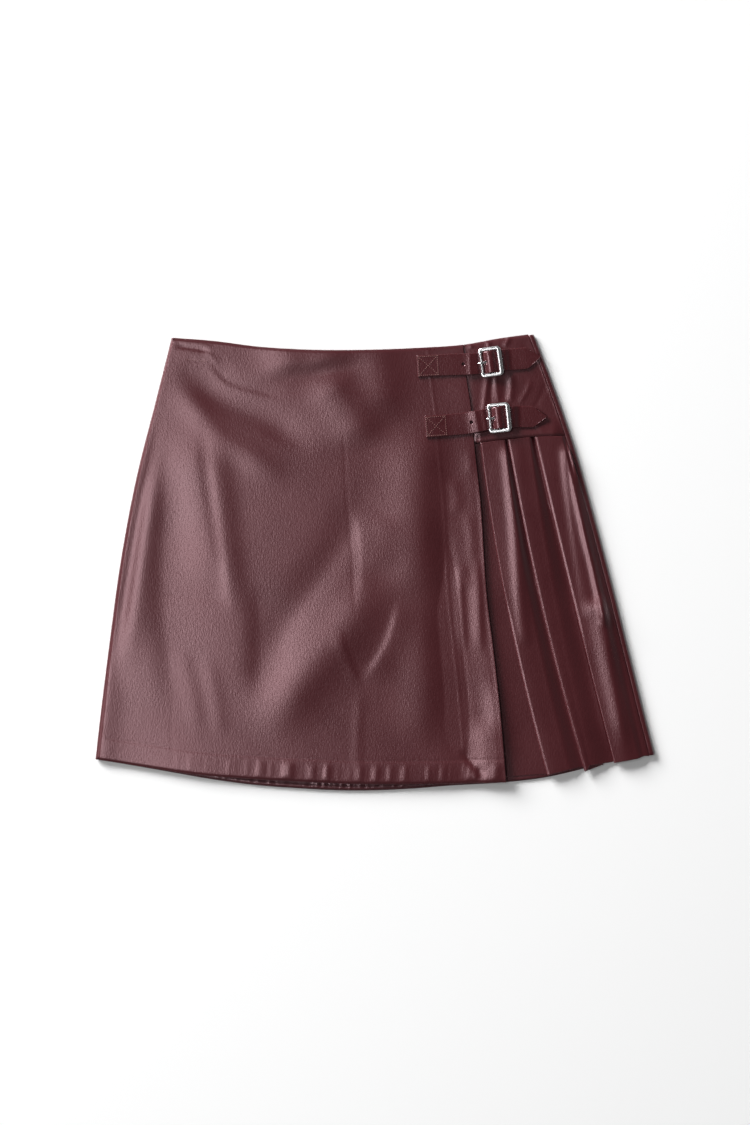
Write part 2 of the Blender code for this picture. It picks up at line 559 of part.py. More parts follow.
class Fastening:
    """One buckle's own frame: s along the strap, t across it, z above the yoke."""

    def __init__(self, row):
        self.name, self.x, self.y, tilt, self.spare_hole, self.prong_hole, self.route = row
        angle = math.radians(tilt)
        self.along = np.array((math.cos(angle), math.sin(angle), 0.0))
        self.across = np.array((-math.sin(angle), math.cos(angle), 0.0))
        self.up = np.array((0.0, 0.0, 1.0))
        left, half = BUCKLE_ZONE
        s, t = np.meshgrid(np.linspace(left, TAB_LENGTH, 14), np.linspace(-half, half, 11))
        x = self.x + s * self.along[0] + t * self.across[0]
        y = self.y + s * self.along[1] + t * self.across[1]
        under = yoke_top(x, y)
        self.rest = float(under[:, 3:].max())

    def place(self, s, t, z):
        return (np.array((self.x, self.y, self.rest)) + self.along * s + self.across * t
                + self.up * z)

    def frame_z(self, s):
        half = (BUCKLE_WIDTH - BAR_WIDTH) / 2
        return FRAME_LEFT_Z + (FRAME_RIGHT_Z - FRAME_LEFT_Z) * (s + half) / (2 * half)

    def frame(self):
        """The rounded frame, tilted, with its centre bar dropped below the rails."""
        half_s = (BUCKLE_WIDTH - BAR_WIDTH) / 2
        half_t = (BUCKLE_HEIGHT - RAIL_WIDTH) / 2
        sections = []
        for quarter in range(4):
            sign_s = 1 if quarter in (0, 3) else -1
            sign_t = 1 if quarter in (0, 1) else -1
            for angle in np.linspace(0.0, 90.0, 4):
                turned = math.radians(90 * quarter + angle)
                s = sign_s * (half_s - FRAME_CORNER) + FRAME_CORNER * math.cos(turned)
                t = sign_t * (half_t - FRAME_CORNER) + FRAME_CORNER * math.sin(turned)
                side = self.along * math.cos(turned) + self.across * math.sin(turned)
                width = BAR_WIDTH + (RAIL_WIDTH - BAR_WIDTH) * abs(math.sin(turned))
                sections.append(ellipse_ring(self.place(s, t, self.frame_z(s)), side, self.up,
                                             width / 2, FRAME_THICK / 2))
        made = loop_tube("buckle_frame_" + self.name, sections, metal)
        low_end = [(-half_t, self.frame_z(0.0), 90)]
        low_end += [(inward - half_t, CENTRE_BAR_Z + rise, tilt) for inward, rise, tilt in BAR_END]
        bar_sections = []
        for t, z, tilt in low_end + [(-t, z, -tilt) for t, z, tilt in reversed(low_end)]:
            angle = math.radians(tilt)
            outward = self.across * math.sin(angle) + self.up * math.cos(angle)
            bar_sections.append(ellipse_ring(self.place(0.0, t, z), self.along, outward,
                                             CENTRE_BAR, CENTRE_BAR))
        bar = loop_tube("centre_bar_" + self.name, bar_sections, metal, closed=False)
        bar.display_type = "WIRE"
        bar.hide_render = True
        join = made.modifiers.new("centre bar", "BOOLEAN")
        join.operation = "UNION"
        join.object = bar
        return made

    def prong(self):
        """A strip bent round the centre bar, its tongue lying on the left bar."""
        path = []
        for turned in np.radians(np.linspace(200.0, 440.0, 11)):
            path.append((PRONG_RING * math.cos(turned),
                         CENTRE_BAR_Z + PRONG_RING * math.sin(turned), PRONG_RING_HALF))
        path += PRONG_TONGUE
        sections = []
        for k, (s, z, half) in enumerate(path):
            s0, z0, _ = path[max(k - 1, 0)]
            s1, z1, _ = path[min(k + 1, len(path) - 1)]
            run = math.hypot(s1 - s0, z1 - z0)
            outward = (self.along * (z1 - z0) - self.up * (s1 - s0)) / run
            half_width = PRONG_WIDTH / 2 * (1.0 if s > PRONG_NECK_AT else PRONG_NECK)
            sections.append(ellipse_ring(self.place(s, 0.0, z), self.across, outward,
                                         half_width * FACET_ALLOWANCE, half * FACET_ALLOWANCE))
        return loop_tube("buckle_prong_" + self.name, sections, metal, closed=False)

    def tab(self):
        """The leather tab looped round the centre bar, slotted for the prong."""
        eye = CENTRE_BAR + GAP + TAB_THICK
        low = CENTRE_BAR_Z - eye
        path = [(TAB_LENGTH, low)] + [(at, low) for at in TAB_REST_AT]
        for turned in np.radians(np.linspace(-90.0, -315.0, 10)):
            path.append((eye * math.cos(turned), CENTRE_BAR_Z + eye * math.sin(turned)))
        top = low + 2 * TAB_THICK + GAP
        path += [(at, top + rise) for at, rise in TAB_CLOSE] + [(TAB_LENGTH, top)]
        slot = PRONG_WIDTH / 2 + TAB_SLOT_PLAY
        lanes = (TAB_WIDTH / 2, slot, -slot, -TAB_WIDTH / 2)
        outer = [[self.place(s, t, z) for t in lanes] for s, z in path]
        slot_cells = {(k, 1) for k in range(2, len(path) - 4)}
        return wall("buckle_tab_" + self.name, np.array(outer), TAB_THICK, leather,
                    holes=slot_cells)

    def strap(self):
        """The strap from its sewn end, woven through the buckle, to its point."""
        lengths, line_x, line_y = strap_line(self.route)
        bar_at = lengths[4]
        tip = lengths[-1]
        holes_at = (bar_at + self.spare_hole, bar_at + self.prong_hole)
        spots = set(np.linspace(0.0, bar_at - PLAIN_END, 4)) | {bar_at + s for s, _ in STRAP_WEAVE}
        spots |= {bar_at + s for s in STRAP_STATIONS}
        spots |= {tip - STRAP_SHOULDER, tip - STRAP_SHOULDER / 2, tip}
        reach = (HOLE_RADIUS, PRONG_HOLE)
        for at, half in zip(holes_at, reach):
            spots = {s for s in spots if abs(s - at) > half + 0.35}
            spots |= {at - half, at, at + half}
        spots = sorted(spots)
        lanes = (1.0, 0.55, HOLE_RADIUS / STRAP_WIDTH * 2, 0.0, -HOLE_RADIUS / STRAP_WIDTH * 2,
                 -0.55, -1.0)
        samples = np.arange(-3.0, tip + 3.0, STRAP_SAMPLE)
        under = self.underlying(samples, lengths, line_x, line_y)
        outer, cells = [], set()
        for k, s in enumerate(spots):
            x, y = float(smooth(line_x, s)), float(smooth(line_y, s))
            ahead = np.array((float(smooth(line_x, s + 0.5)) - float(smooth(line_x, s - 0.5)),
                              float(smooth(line_y, s + 0.5)) - float(smooth(line_y, s - 0.5)), 0.0))
            ahead /= np.linalg.norm(ahead)
            side = np.array((-ahead[1], ahead[0], 0.0))
            point_share = TIP_SHARE + (1 - TIP_SHARE) * (tip - s) / STRAP_SHOULDER
            half = STRAP_WIDTH / 2 * min(1.0, point_share)
            bottom = self.strap_height(s - bar_at, float(np.interp(s, samples, under)))
            column = []
            for lane in lanes:
                point = np.array((x, y, bottom + LEATHER)) + side * (half * lane)
                for at, reach_s in zip(holes_at, reach):
                    if abs(abs(s - at) - reach_s) < 1e-6 and 0 < abs(lane) < 0.4:
                        point -= ahead * (math.copysign(0.3 * reach_s, s - at))
                        point -= side * (half * lane * 0.3)
                column.append(point)
            outer.append(column)
            if any(abs(s - at) < 1e-6 or abs(s - at + r) < 1e-6 for at, r in zip(holes_at, reach)):
                cells |= {(k, 2), (k, 3)}
        return wall("strap_" + self.name, np.array(outer), LEATHER, leather, holes=cells)

    def underlying(self, samples, lengths, line_x, line_y):
        """Highest point under the strap's width, eased along its length."""
        x, y = smooth(line_x, samples), smooth(line_y, samples)
        highest = np.full(len(samples), -1.0)
        for lane in np.linspace(-1.0, 1.0, 7):
            highest = np.maximum(highest, layers_top(x, y + lane * STRAP_WIDTH / 2))
        padded = np.pad(highest, STRAP_BRIDGES, mode="edge")
        bridged = np.array([padded[k:k + 2 * STRAP_BRIDGES + 1].max() for k in range(len(highest))])
        padded = np.pad(bridged, STRAP_EASES, mode="edge")
        return np.array([padded[k:k + 2 * STRAP_EASES + 1].mean() for k in range(len(highest))])

    def strap_height(self, s, under):
        """Underside of the strap: the weave round the buckle, else resting."""
        resting = under + GAP
        first, last = STRAP_WEAVE[0][0], STRAP_WEAVE[-1][0]
        woven = self.rest + float(smooth(STRAP_WEAVE, min(max(s, first), last)))
        share = float(step_up(*WEAVE_FROM, s) * (1 - step_up(*WEAVE_TO, s)))
        return resting + (woven - resting) * share


build_back()
build_yoke()
build_pleats()
build_front()
for row in FASTENINGS:
    fastening = Fastening(row)
    fastening.tab()
    fastening.frame()
    fastening.prong()
    fastening.strap()
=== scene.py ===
"""The looks of a wrap-front mini skirt in coated leather, laid out flat on a white table.

Tables of sizes are in millimetres, seen from above: x to the right, y towards the waist,
z up from the table. Meshes are written in metres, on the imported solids.
"""
import math

import bpy
import numpy as np
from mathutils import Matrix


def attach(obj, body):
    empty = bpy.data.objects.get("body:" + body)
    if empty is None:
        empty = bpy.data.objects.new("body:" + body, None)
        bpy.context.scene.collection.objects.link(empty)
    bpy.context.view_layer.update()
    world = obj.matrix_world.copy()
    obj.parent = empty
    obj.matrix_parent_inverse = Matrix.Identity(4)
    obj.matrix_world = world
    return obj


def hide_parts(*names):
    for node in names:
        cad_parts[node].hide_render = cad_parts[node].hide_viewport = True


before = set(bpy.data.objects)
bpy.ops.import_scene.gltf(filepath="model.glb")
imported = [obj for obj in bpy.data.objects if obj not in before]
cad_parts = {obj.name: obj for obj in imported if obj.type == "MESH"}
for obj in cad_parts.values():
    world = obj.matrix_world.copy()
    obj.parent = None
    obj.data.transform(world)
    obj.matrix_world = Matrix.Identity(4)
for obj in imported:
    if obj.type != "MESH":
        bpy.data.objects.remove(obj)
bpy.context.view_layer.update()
scene = bpy.context.scene

# ---- Table, camera and lamps ----------------------------------------------------------
# The skirt lies on a white table top under a camera that looks straight down. A long
# soft box on the left gives the leather its sheen, and a large far one, low beyond the
# waist and the left side, throws the soft shadow on the right and below the hem.
MM = 0.001
VIEW_LENGTH = 1091.0 * MM        # what the camera sees along its long side at the table
CAMERA_HEIGHT = 2.4
SENSOR = 36.0
TABLE_SIZE = 9.0
TABLE_DROP = 0.15 * MM
TABLE_GREY = 0.93
TABLE_ROUGHNESS = 0.9
OVERHEAD_GLOW = 0.02
HORIZON_GLOW = 0.30


def add(name, data):
    """A new object of the scene."""
    made = bpy.data.objects.new(name, data)
    scene.collection.objects.link(made)
    return made


camera = add("camera", bpy.data.cameras.new("camera"))
camera.data.sensor_width = SENSOR
camera.data.lens = SENSOR * CAMERA_HEIGHT / VIEW_LENGTH
camera.location = (0.0, 0.0, CAMERA_HEIGHT)
scene.camera = camera
scene.view_settings.view_transform = "Standard"


class Wire:
    """A socket of a node tree. Sums and products of wires add Math nodes to the tree."""

    def __init__(self, tree, socket=None):
        self.tree, self.socket = tree, socket

    def node(self, kind, settings=None, inputs=None, out=0):
        """Adds a node, makes its settings, then fills its inputs; gives one output."""
        made = self.tree.nodes.new(kind)
        for name, value in (settings or {}).items():
            if name == "stops":
                for stop, (place, grey) in zip(made.color_ramp.elements, value):
                    stop.position = place
                    stop.color = (grey, grey, grey, 1.0)
            else:
                setattr(made, name, value)
        for key, value in (inputs or {}).items():
            if isinstance(value, Wire):
                self.tree.links.new(value.socket, made.inputs[key])
            else:
                made.inputs[key].default_value = value
        return Wire(self.tree, made.outputs[out])

    def to(self, socket):
        self.tree.links.new(self.socket, socket)

    def math(self, operation, first, second):
        return self.node("ShaderNodeMath", {"operation": operation}, {0: first, 1: second})

    def __add__(self, other):
        return self.math("ADD", self, other)

    __radd__ = __add__

    def __sub__(self, other):
        return self.math("SUBTRACT", self, other)

    def __rsub__(self, other):
        return self.math("SUBTRACT", other, self)

    def __mul__(self, other):
        return self.math("MULTIPLY", self, other)

    __rmul__ = __mul__

    def colours(self, low, high):
        """A colour between low and high, by this wire."""
        return self.node("ShaderNodeMix", {"data_type": "RGBA"},
                         {0: self, 6: (*low, 1.0), 7: (*high, 1.0)}, out=2)


def new_material(name):
    """A new material; gives it, a wire of its node tree and its Principled shader."""
    made = bpy.data.materials.new(name)
    made.use_nodes = True
    return made, Wire(made.node_tree), made.node_tree.nodes["Principled BSDF"]


table_mesh = bpy.data.meshes.new("table_top")
table_mesh.from_pydata([(x * TABLE_SIZE / 2, y * TABLE_SIZE / 2, -TABLE_DROP)
                        for x, y in ((-1, -1), (1, -1), (1, 1), (-1, 1))], [], [(0, 1, 2, 3)])
table_top = add("table_top", table_mesh)
white, _, shader = new_material("white_table")
shader.inputs["Base Color"].default_value = (TABLE_GREY, TABLE_GREY, TABLE_GREY, 1.0)
shader.inputs["Roughness"].default_value = TABLE_ROUGHNESS
table_mesh.materials.append(white)

# The studio is dim overhead and bright towards the horizon
world = bpy.data.worlds.new("studio")
world.use_nodes = True
sky = Wire(world.node_tree)
direction = sky.node("ShaderNodeTexCoord")
height = sky.node("ShaderNodeSeparateXYZ", {}, {"Vector": direction}, out=2)
level = OVERHEAD_GLOW + (HORIZON_GLOW - OVERHEAD_GLOW) * (1.0 - height)
background = world.node_tree.nodes["Background"]
level.to(background.inputs["Strength"])
background.inputs["Color"].default_value = (1.0, 1.0, 1.0, 1.0)
scene.world = world

# Columns: name, place in metres, point it faces, width, length, watts
LAMPS = (
    ("sheen_box", (-0.69, -0.03, 2.0), (-0.10, -0.03, 0.0), 0.50, 1.30, 10.9),
    ("shadow_box", (-6.00, 6.00, 2.90), (0.0, 0.0, 0.0), 3.20, 5.50, 2095.0),
)
for name, place, target, width, length, watts in LAMPS:
    lamp = bpy.data.lights.new(name, "AREA")
    lamp.shape = "RECTANGLE"
    lamp.size = width
    lamp.size_y = length
    lamp.energy = watts
    holder = add(name, lamp)
    holder.location = place
    away = [a - b for a, b in zip(place, target)]
    level = math.hypot(away[0], away[1])
    holder.rotation_euler = (0.0, math.atan2(level, away[2]), math.atan2(away[1], away[0]))
    holder.visible_camera = False


# ---- Back panel -----------------------------------------------------------------------
# One piece of burgundy coated leather, flat underneath. It folds up at the left side and
# round to the seam at the right, and its turned-up hem shows below the front's hem.
SHEEN_TINT = (1.0, 0.67, 0.72)   # the clear coat over the colour is faintly red
COAT_SHINE = 1.0
COAT_INDEX = 1.6
GRAIN_DEPTH = 0.125 * MM


def coated_leather(name, deep, light, gloss):
    """Coated leather: pebbled grain with fine upright wrinkles, uneven in tone and gloss."""
    made, wire, shader = new_material(name)
    place = wire.node("ShaderNodeTexCoord", out=3)
    upright = wire.node("ShaderNodeMapping", {}, {"Vector": place, "Scale": (1.0, 0.45, 1.0)})
    tone = wire.node("ShaderNodeTexNoise", {}, {"Vector": place, "Scale": 14.0, "Detail": 3.0})
    fine = wire.node("ShaderNodeTexNoise", {}, {"Vector": upright, "Scale": 760.0, "Detail": 3.0})
    pebble = wire.node("ShaderNodeTexVoronoi", {"feature": "SMOOTH_F1"},
                       {"Vector": upright, "Scale": 780.0, "Smoothness": 0.4})
    wrinkle = wire.node("ShaderNodeTexNoise", {},
                        {"Vector": upright, "Scale": 420.0, "Detail": 4.0, "Roughness": 0.62,
                         "Distortion": 0.6})
    mixed = 0.7 * tone + 0.3 * fine
    mask = wire.node("ShaderNodeValToRGB", {"stops": ((0.30, 0.0), (0.72, 1.0))}, {"Fac": mixed})
    mask.colours(deep, light).to(shader.inputs["Base Color"])
    (gloss + 0.10 * (tone - 0.5) + 0.10 * (fine - 0.5)).to(shader.inputs["Roughness"])
    height = 0.5 * pebble + 0.35 * fine + 0.5 * wrinkle
    bump = wire.node("ShaderNodeBump", {},
                     {"Height": height, "Strength": 0.9, "Distance": GRAIN_DEPTH})
    bump.to(shader.inputs["Normal"])
    shader.inputs["Specular Tint"].default_value = (*SHEEN_TINT, 1.0)
    shader.inputs["Specular IOR Level"].default_value = COAT_SHINE
    shader.inputs["IOR"].default_value = COAT_INDEX
    return made


skirt_leather = coated_leather("skirt_leather", (0.048, 0.0069, 0.0090),
                               (0.063, 0.0096, 0.0120), gloss=0.30)

SKIN = 0.9               # thickness of the leather
SIDE_FOLD = 2.1          # outer radius of the folds at the two sides
SIDE_HEIGHT = 2 * SIDE_FOLD
SEAM_SET_IN = 4.85       # the right side seam lies this far in from the edge
SEAM_GAP = 0.3
TUCK = 0.8               # hidden layers stop this far short of the waist edge
# Columns: y, x
LEFT_SIDE = (
    (217.8, -196.9), (157.6, -212.1), (80.0, -231.6), (2.4, -246.2),
    (-75.2, -256.9), (-145.0, -265.6), (-190.6, -270.8),
)
RIGHT_SIDE = (
    (221.6, 153.3), (173.1, 171.7), (111.1, 193.0), (49.0, 210.5),
    (-13.1, 227.0), (-90.7, 246.4), (-152.8, 261.9), (-186.1, 270.6),
)
# Columns: x, y
WAIST = (
    (-196.9, 217.8), (-158.1, 214.9), (-111.5, 209.0), (-65.0, 206.1), (-18.4, 205.8),
    (43.6, 208.1), (85.4, 211.0), (121.2, 217.3), (153.3, 221.6),
)
BACK_HEM = (
    (-270.8, -190.6), (-208.5, -201.3), (-160.0, -209.8), (-121.2, -215.2),
    (-72.8, -219.0), (-24.2, -221.1), (28.1, -219.7), (72.8, -216.3),
    (129.0, -212.8), (165.9, -208.2), (198.0, -200.9), (230.0, -192.5), (270.6, -186.1),
)


def smooth(table, s):
    """Second column of the table at s, along a smooth curve through its rows."""
    rows = sorted(table)
    xs = np.array([row[0] for row in rows], float)
    ys = np.array([row[1] for row in rows], float)
    chord = np.diff(ys) / np.diff(xs)
    slope = np.empty(len(xs))
    slope[0], slope[-1] = chord[0], chord[-1]
    steps = np.diff(xs)
    slope[1:-1] = (chord[:-1] * steps[1:] + chord[1:] * steps[:-1]) / (steps[1:] + steps[:-1])
    s = np.asarray(s, float)
    held = np.clip(s, xs[0], xs[-1])
    k = np.clip(np.searchsorted(xs, held, side="right") - 1, 0, len(xs) - 2)
    step = xs[k + 1] - xs[k]
    t = (held - xs[k]) / step
    value = ((1 + 2 * t) * (1 - t) ** 2 * ys[k] + t * (1 - t) ** 2 * step * slope[k]
             + t * t * (3 - 2 * t) * ys[k + 1] - t * t * (1 - t) * step * slope[k + 1])
    past = s - held
    return value + past * np.where(past < 0, slope[0], slope[-1])


def step_up(low, high, s):
    """0 below low, 1 above high, smooth between."""
    t = np.clip((s - low) / (high - low), 0.0, 1.0)
    return t * t * (3 - 2 * t)


def bell(distance, width):
    """The section of a soft ridge: 1 on its crest, near 0 at twice its width."""
    return np.exp(-(distance / width) ** 2)


def between(start, end, share):
    return start + share * (end - start)


def panel_side(edge, y_top, y_hem):
    """A panel's left or right edge: x from y, then x and y at its two ends."""
    return edge, float(edge(y_top)), float(edge(y_hem)), y_top, y_hem


def panel_plan(left, right, top, hem, u, v):
    """Plan position at u across and v down a panel between its four edges."""
    x_top = between(left[1], right[1], u)
    x_hem = between(left[2], right[2], u)
    bow_left, bow_right = (edge(between(y_top, y_hem, v)) - between(start_x, end_x, v)
                           for edge, start_x, end_x, y_top, y_hem in (left, right))
    x = between(x_top, x_hem, v) + (1 - u) * bow_left + u * bow_right
    return x, between(top(x_top), hem(x_hem), v)


def line_of(table):
    """The smooth line through a table's rows, as a function of its first column."""
    return lambda s: smooth(table, s)


waist_line, left_side, right_side, back_hem = map(line_of, (WAIST, LEFT_SIDE, RIGHT_SIDE, BACK_HEM))


def unit(vectors):
    return vectors / np.linalg.norm(vectors, axis=-1, keepdims=True)


def object_of(name, points, faces, material):
    """A smooth-shaded object from points in millimetres and faces that point outwards."""
    mesh = bpy.data.meshes.new(name)
    mesh.from_pydata((np.asarray(points, float) * MM).tolist(), [], faces)
    mesh.validate()
    mesh.shade_smooth()
    mesh.materials.append(material)
    return add(name, mesh)


def shell(name, outer, thickness, material, skip=1, cut=(), ghost=0):
    """A wall of leather from its outer points [across][down], with a rounded rim.

    The inner side has every skip-th point. cut lists cells (across, down) that are open.
    The first ghost stations only guide the normals.
    """
    across = unit(np.gradient(outer, axis=0))[ghost:]
    down = unit(np.gradient(outer, axis=1))[ghost:]
    outer = outer[ghost:]
    normal = unit(np.cross(down, across))
    columns, rows = outer.shape[:2]
    loop = ([(i, 0) for i in range(columns)]
            + [(columns - 1, j) for j in range(1, rows)]
            + [(i, rows - 1) for i in range(columns - 2, -1, -1)]
            + [(0, j) for j in range(rows - 2, 0, -1)])
    outward = np.zeros_like(outer)
    outward[0] -= across[0]
    outward[-1] += across[-1]
    outward[:, 0] -= down[:, 0]
    outward[:, -1] += down[:, -1]
    radius = thickness / 2
    points = outer - outward * radius
    inner = (points - normal * thickness)[::skip, ::skip]
    place = tuple(np.array(loop).T)
    middle = points[place] - normal[place] * radius
    rings = [middle + radius * (math.cos(a) * normal[place] + math.sin(a) * outward[place])
             for a in (math.pi / 4, math.pi / 2, 3 * math.pi / 4)]
    around = len(loop)
    first_ring = columns * rows
    first_inner = first_ring + 3 * around
    inner_rows = inner.shape[1]

    def behind(i, j):
        return first_inner + (i // skip) * inner_rows + j // skip

    faces = []
    edges = set()
    for i in range(columns - 1):
        for j in range(rows - 1):
            if (i, j) not in cut:
                corners = ((i, j), (i, j + 1), (i + 1, j + 1), (i + 1, j))
                faces.append(tuple(a * rows + b for a, b in corners))
                if cut:
                    edges.update(zip(corners, corners[1:] + corners[:1]))
    for i in range(0, columns - 1, skip):
        for j in range(0, rows - 1, skip):
            if (i, j) not in cut:
                faces.append((behind(i + skip, j), behind(i + skip, j + skip),
                              behind(i, j + skip), behind(i, j)))
    on_rim = set(loop)
    for start, end in sorted(edges):
        if (end, start) not in edges and not (start in on_rim and end in on_rim):
            faces.append((end[0] * rows + end[1], start[0] * rows + start[1],
                          behind(*start), behind(*end)))
    front = [i * rows + j for i, j in loop]
    for k in range(3):
        ring = [first_ring + k * around + p for p in range(around)]
        for p in range(around):
            q = (p + 1) % around
            faces.append((front[p], front[q], ring[q], ring[p]))
        front = ring
    for p in range(0, around, skip):
        run = [front[(p + k) % around] for k in range(skip + 1)]
        faces.append((*run, behind(*loop[(p + skip) % around]), behind(*loop[p])))
    everything = np.concatenate([points.reshape(-1, 3), *rings, inner.reshape(-1, 3)])
    if cut:
        used = sorted({index for face in faces for index in face})
        renumber = {index: k for k, index in enumerate(used)}
        faces = [tuple(renumber[index] for index in face) for face in faces]
        everything = everything[used]
    return object_of(name, everything, faces, material)


def wear(piece, slot, *nodes):
    """The piece rides with the skirt and stands for those solids; slot is not used."""
    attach(piece, "root")
    if nodes:
        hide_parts(*nodes)
    return piece


def side_fold_angles(count):
    """Angles of the left side's fold, after one past the seam for its normals."""
    angles = np.linspace(math.asin(SEAM_GAP / 2 / SIDE_FOLD), math.pi / 2, count)
    return np.concatenate([[2 * angles[0] - angles[1]], angles])


def back_stations():
    """Stations across the back from the left fold: u, shift from the side, z."""
    rows = [(0.0, SIDE_FOLD * (1 - math.cos(a)), SIDE_FOLD * (1 - math.sin(a)))
            for a in side_fold_angles(8)]
    rows += [(u, 0.0, 0.0) for u in np.linspace(0.0, 1.0, 110)[1:-1]]
    rows += [(1.0, -SIDE_FOLD * (1 - math.cos(a)), SIDE_FOLD * (1 + math.sin(a)))
             for a in np.linspace(-math.pi / 2, math.pi / 2, 14)]
    rows += [(1.0, -shift, SIDE_HEIGHT) for shift in np.linspace(SIDE_FOLD, SEAM_SET_IN, 4)[1:]]
    return np.array(rows)


def side_ends(table):
    """The panel side along a whole table of y, x."""
    return panel_side(line_of(table), table[0][0], table[-1][0])


BACK_ROWS = 111
back_edges = (side_ends(LEFT_SIDE), side_ends(RIGHT_SIDE), lambda x: waist_line(x) - TUCK, back_hem)
u, shift, z = back_stations().T[..., None]
v = np.linspace(0.0, 1.0, BACK_ROWS)[None]
x_left, x_right = (panel_plan(*back_edges, side, v)[0] for side in (0.0, 1.0))
x, y = panel_plan(*back_edges, u + shift / (x_right - x_left), v)
x = np.where(u == 0.0, left_side(y) + shift, x)
x = np.where(u == 1.0, right_side(y) + shift, x)
outer = np.stack([x, y, z + 0.0 * x], axis=-1)[::-1]
back_panel = shell("back_leather", np.ascontiguousarray(outer[:-1]), SKIN, skirt_leather)
wear(back_panel, "leather", "back_panel")

HEM_TURNING = 20.0
TURNING_SKIN = 0.5
TURNING_SIDE = 9.0       # the turning starts this far in from the side folds
TURNING_ROLL = 1.1       # the turned edge stands up this much, this far from the hem
TURNING_ROLL_AT = 2.5
RIPPLES_FROM = 6.0       # the sewn edge's waves grow over this distance from the hem
FLAT_UNDER_PLEATS = (60.0, 110.0)


def random_ripples(seed, count, start, gaps, heights, widths):
    """Rows of x, height and width for low uneven waves along a hem."""
    rng = np.random.default_rng(seed)
    places = np.cumsum(rng.uniform(*gaps, count)) + start
    return list(zip(places, rng.uniform(*heights, count), rng.uniform(*widths, count)))


def ripples(x, rows):
    return sum(height * bell(x - at, width) for at, height, width in rows)


BACK_RIPPLES = random_ripples(5, 84, -264.0, (4.0, 9.0), (0.12, 0.62), (1.6, 3.2))
turning_x = np.linspace(LEFT_SIDE[-1][1] + TURNING_SIDE, RIGHT_SIDE[-1][1] - TURNING_SIDE, 361)
turning_d = np.concatenate([np.linspace(HEM_TURNING, 8.0, 7), np.linspace(7.4, SKIN, 14)])
grid_x, grid_d = np.meshgrid(turning_x, turning_d, indexing="ij")
under_pleats = step_up(*FLAT_UNDER_PLEATS, grid_x)
rise = ripples(grid_x, BACK_RIPPLES) * step_up(0.0, RIPPLES_FROM, grid_d) * (1 - under_pleats)
rise += TURNING_ROLL * bell(grid_d - TURNING_ROLL_AT, TURNING_ROLL_AT) * (1 - 0.5 * under_pleats)
outer = np.stack([grid_x, back_hem(grid_x) + grid_d, SKIN + 0.1 + TURNING_SKIN + rise], axis=-1)
back_hem_turning = shell("back_hem_turning", outer, TURNING_SKIN, skirt_leather)
wear(back_hem_turning, "leather")

# ---- Hip yoke -------------------------------------------------------------------------
# The shaped band under the two straps, cut in the same leather. Its top is turned over at
# the waist, and its lower edge is sewn on over the tops of the pleats.
YOKE_SEAM = (
    (60.1, 113.0), (97.5, 115.5), (128.0, 119.4), (153.6, 121.7), (188.0, 122.8),
)
YOKE_LOW = 2.7
YOKE_AT_WRAP = 3.5
YOKE_LEFT = 54.0
YOKE_LEFT_LEAN = 0.06
SEAM_RISE = 1.9
SEAM_RISE_DEPTH = 20.0
SEAM_RIDGE = 0.22                # the leather stands up beside the side seam
SEAM_RIDGE_IN = 0.3
SEAM_RIDGE_WIDTH = 1.3
SEAM_RIDGE_ENDS = (192.0, 208.0)
YOKE_CLIMB = (76.0, 98.0, 165.0)   # x where it starts up, is at the wrap and at the side
ON_PLEATS = (96.0, 102.0)        # x over which its lower edge climbs on the pleats
OFF_PLEATS = (172.0, 184.0)
YOKE_SHOWS = (82.0, 88.0, 90.0)  # x where it comes out from under the wrap
YOKE_TOP_Y = (212.0, 220.8)      # at the left and right ends of the yoke
YOKE_SEAM_Y = 113.0
SEAM_END_X = 183.3               # where the pleats' seam meets the side seam
EDGE_ROLL = 0.7                  # an edge that is turned over is this much lower
EDGE_ROLL_WIDTH = 1.7
# Soft pulls in the leather round the buckles, columns: height, width on the right hand
# and on the left hand of the route, route as x, y points
YOKE_PULLS = (
    (0.55, 3.2, 2.6, ((111, 186), (108, 170), (106, 152), (104, 136))),
    (0.35, 2.2, 2.4, ((116, 186), (118, 168), (120, 150))),
    (-0.30, 2.0, 2.0, ((113, 180), (112, 165), (113, 150))),
    (0.45, 2.6, 3.4, ((132, 184), (132, 168), (130, 152))),
    (0.30, 2.4, 2.6, ((152, 178), (146, 164), (138, 152))),
    (-0.25, 3.0, 3.0, ((126, 182), (125, 166), (124, 152))),
    (-0.20, 3.0, 3.0, ((168, 178), (160, 160), (152, 146))),
    (0.40, 2.6, 2.2, ((89, 218), (92, 212), (94, 206))),
    (0.50, 2.4, 2.2, ((107, 217), (110, 212), (110, 207))),
    (0.45, 2.2, 2.6, ((131, 221), (128, 214), (124, 208))),
    (-0.20, 4.0, 4.0, ((140, 215), (150, 205), (158, 195))),
    (0.25, 3.0, 3.0, ((150, 140), (158, 132), (166, 126))),
)


def by_distance(route):
    """Distances along a route of x, y and more, and a table of each column by distance."""
    route = np.array(route, float)
    steps = np.hypot(*np.diff(route[:, :2], axis=0).T)
    lengths = np.concatenate([[0.0], np.cumsum(steps)])
    return lengths, [list(zip(lengths, column)) for column in route.T]


def smooth_route(route):
    """Points along a smooth curve through a route, six to a stretch."""
    lengths, tables = by_distance(route)
    s = np.linspace(0.0, lengths[-1], 6 * (len(route) - 1) + 1)
    return np.stack([smooth(table, s) for table in tables], axis=-1)


